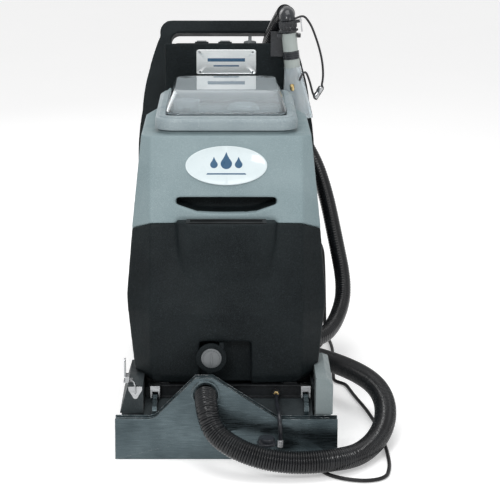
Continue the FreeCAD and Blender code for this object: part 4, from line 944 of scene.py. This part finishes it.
def bristles():
    """Nylon tufts set in spiral rows round the brush core."""
    low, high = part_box("brush_bristles")
    axis_y, axis_z = (low.y + high.y) / 2, (low.z + high.z) / 2
    reach = (high.y - low.y) / 2 - 0.4 * MM
    points, faces = [], []
    for column in range(TUFT_COLUMNS):
        x = low.x + (high.x - low.x) * (column + 0.5) / TUFT_COLUMNS
        for row in range(TUFT_ROWS):
            base_angle = 2 * math.pi * (row / TUFT_ROWS + column * 0.021)
            for _ in range(BRISTLES):
                angle = base_angle + random.uniform(-0.035, 0.035)
                shift = random.uniform(-2.4, 2.4) * MM
                splay = angle + random.uniform(-0.045, 0.045)
                start = len(points)
                ends = ((ROOT_REACH, angle, 0.3, 0.5), (reach, splay, 1.0, 0.34))
                for distance, turn, drift, width in ends:
                    spoke = Vector((0, math.cos(turn), math.sin(turn)))
                    side = Vector((0, -math.sin(turn), math.cos(turn)))
                    root = Vector((x + shift * drift, axis_y, axis_z)) + spoke * distance
                    for step in range(3):
                        around = 2 * math.pi * step / 3
                        aside = Vector((1, 0, 0)) * math.cos(around) + side * math.sin(around)
                        points.append(root + aside * width * MM)
                for face in BRISTLE_FACES:
                    faces.append(tuple(start + corner for corner in face))
    standing_for("bristle_tufts", points, faces, "brush_bristles")


def inside():
    """Drive, pumps and other pieces that don't show, kept as designed."""
    for node, width in (("chassis_frame", 0.8), ("brush_core", 0.6), ("brush_bearings", 0.3),
                        ("brush_pulley_wheel", 0.6), ("motor_pulley_wheel", 0.5),
                        ("drive_belt", 0.4), ("brush_motor", 1.0), ("vacuum_motor", 0.8),
                        ("vacuum_impeller", 0.8), ("duct_seals", 0.6), ("spray_pump", 1.0),
                        ("spray_bar", 0.4), ("hose_manifold", 1.2)):
        dress(node, width)


# ---------------------------------------------------------------- stage
FLOOR_REACH = 12
FLOOR_GLOW = 0.34
WORLD_STRENGTH = 0.6
LAMPS_AIM = Vector((0, 0.25, 0.4))
# Name, place in metres, side in metres and power in watts.
LAMPS = (("key", (-0.9, -2.4, 2.3), 0.9, 34), ("fill", (1.9, -1.8, 1.5), 1.2, 9),
         ("top", (0.1, 0.3, 2.8), 1.6, 26), ("back", (-1.4, 2.6, 1.8), 1.4, 14))


def stage():
    """A plain pale floor and soft studio light."""
    floor_mesh = bpy.data.meshes.new("floor")
    reach = FLOOR_REACH
    corners = [(-reach, -reach, 0), (reach, -reach, 0), (reach, reach, 0), (-reach, reach, 0)]
    floor_mesh.from_pydata(corners, [], [(0, 1, 2, 3)])
    floor = bpy.data.objects.new("floor", floor_mesh)
    bpy.context.scene.collection.objects.link(floor)
    pale = Recipe("floor_pale", [0.9, 0.9, 0.9], 0.7).mottle([0.86, 0.86, 0.86], 2, 0.3)
    pale.put(Emission_Color=(1, 1, 1, 1), Emission_Strength=FLOOR_GLOW)
    floor_mesh.materials.append(pale.done())

    world = bpy.data.worlds.new("studio")
    world.use_nodes = True
    backdrop = world.node_tree.nodes["Background"]
    backdrop.inputs["Color"].default_value = (1, 1, 1, 1)
    backdrop.inputs["Strength"].default_value = WORLD_STRENGTH
    bpy.context.scene.world = world

    for name, spot, side, power in LAMPS:
        lamp = bpy.data.lights.new(name, "AREA")
        lamp.energy = power
        lamp.size = side
        light = bpy.data.objects.new(name, lamp)
        bpy.context.scene.collection.objects.link(light)
        light.location = spot
        light.rotation_euler = (LAMPS_AIM - Vector(spot)).to_track_quat("-Z", "Y").to_euler()


CAMERA_SPOT = (0, -3.0, 1.3)
CAMERA_DOWN_DEGREES = 15.82
SENSOR_WIDTH = 36
LENS = 112.6
LENS_SHIFT = 0.0474


def camera():
    """Seen from the front, 3 m off and a little above, looking down."""
    lens = bpy.data.cameras.new("camera")
    lens.sensor_width = SENSOR_WIDTH
    lens.lens = LENS
    lens.shift_x = LENS_SHIFT
    seen_from = bpy.data.objects.new("camera", lens)
    bpy.context.scene.collection.objects.link(seen_from)
    seen_from.location = CAMERA_SPOT
    seen_from.rotation_euler = (math.radians(90 - CAMERA_DOWN_DEGREES), 0, 0)
    bpy.context.scene.camera = seen_from


for build in (tanks, lid, badge, nameplate, seen_under_lid, controls, front_end, drain_cap,
              floor_hose, tool_hose, power_cord, tether, brass_fitting, hand_tool, wheels,
              bristles, inside, stage, camera):
    build()
bpy.context.scene.view_settings.view_transform = "Standard"
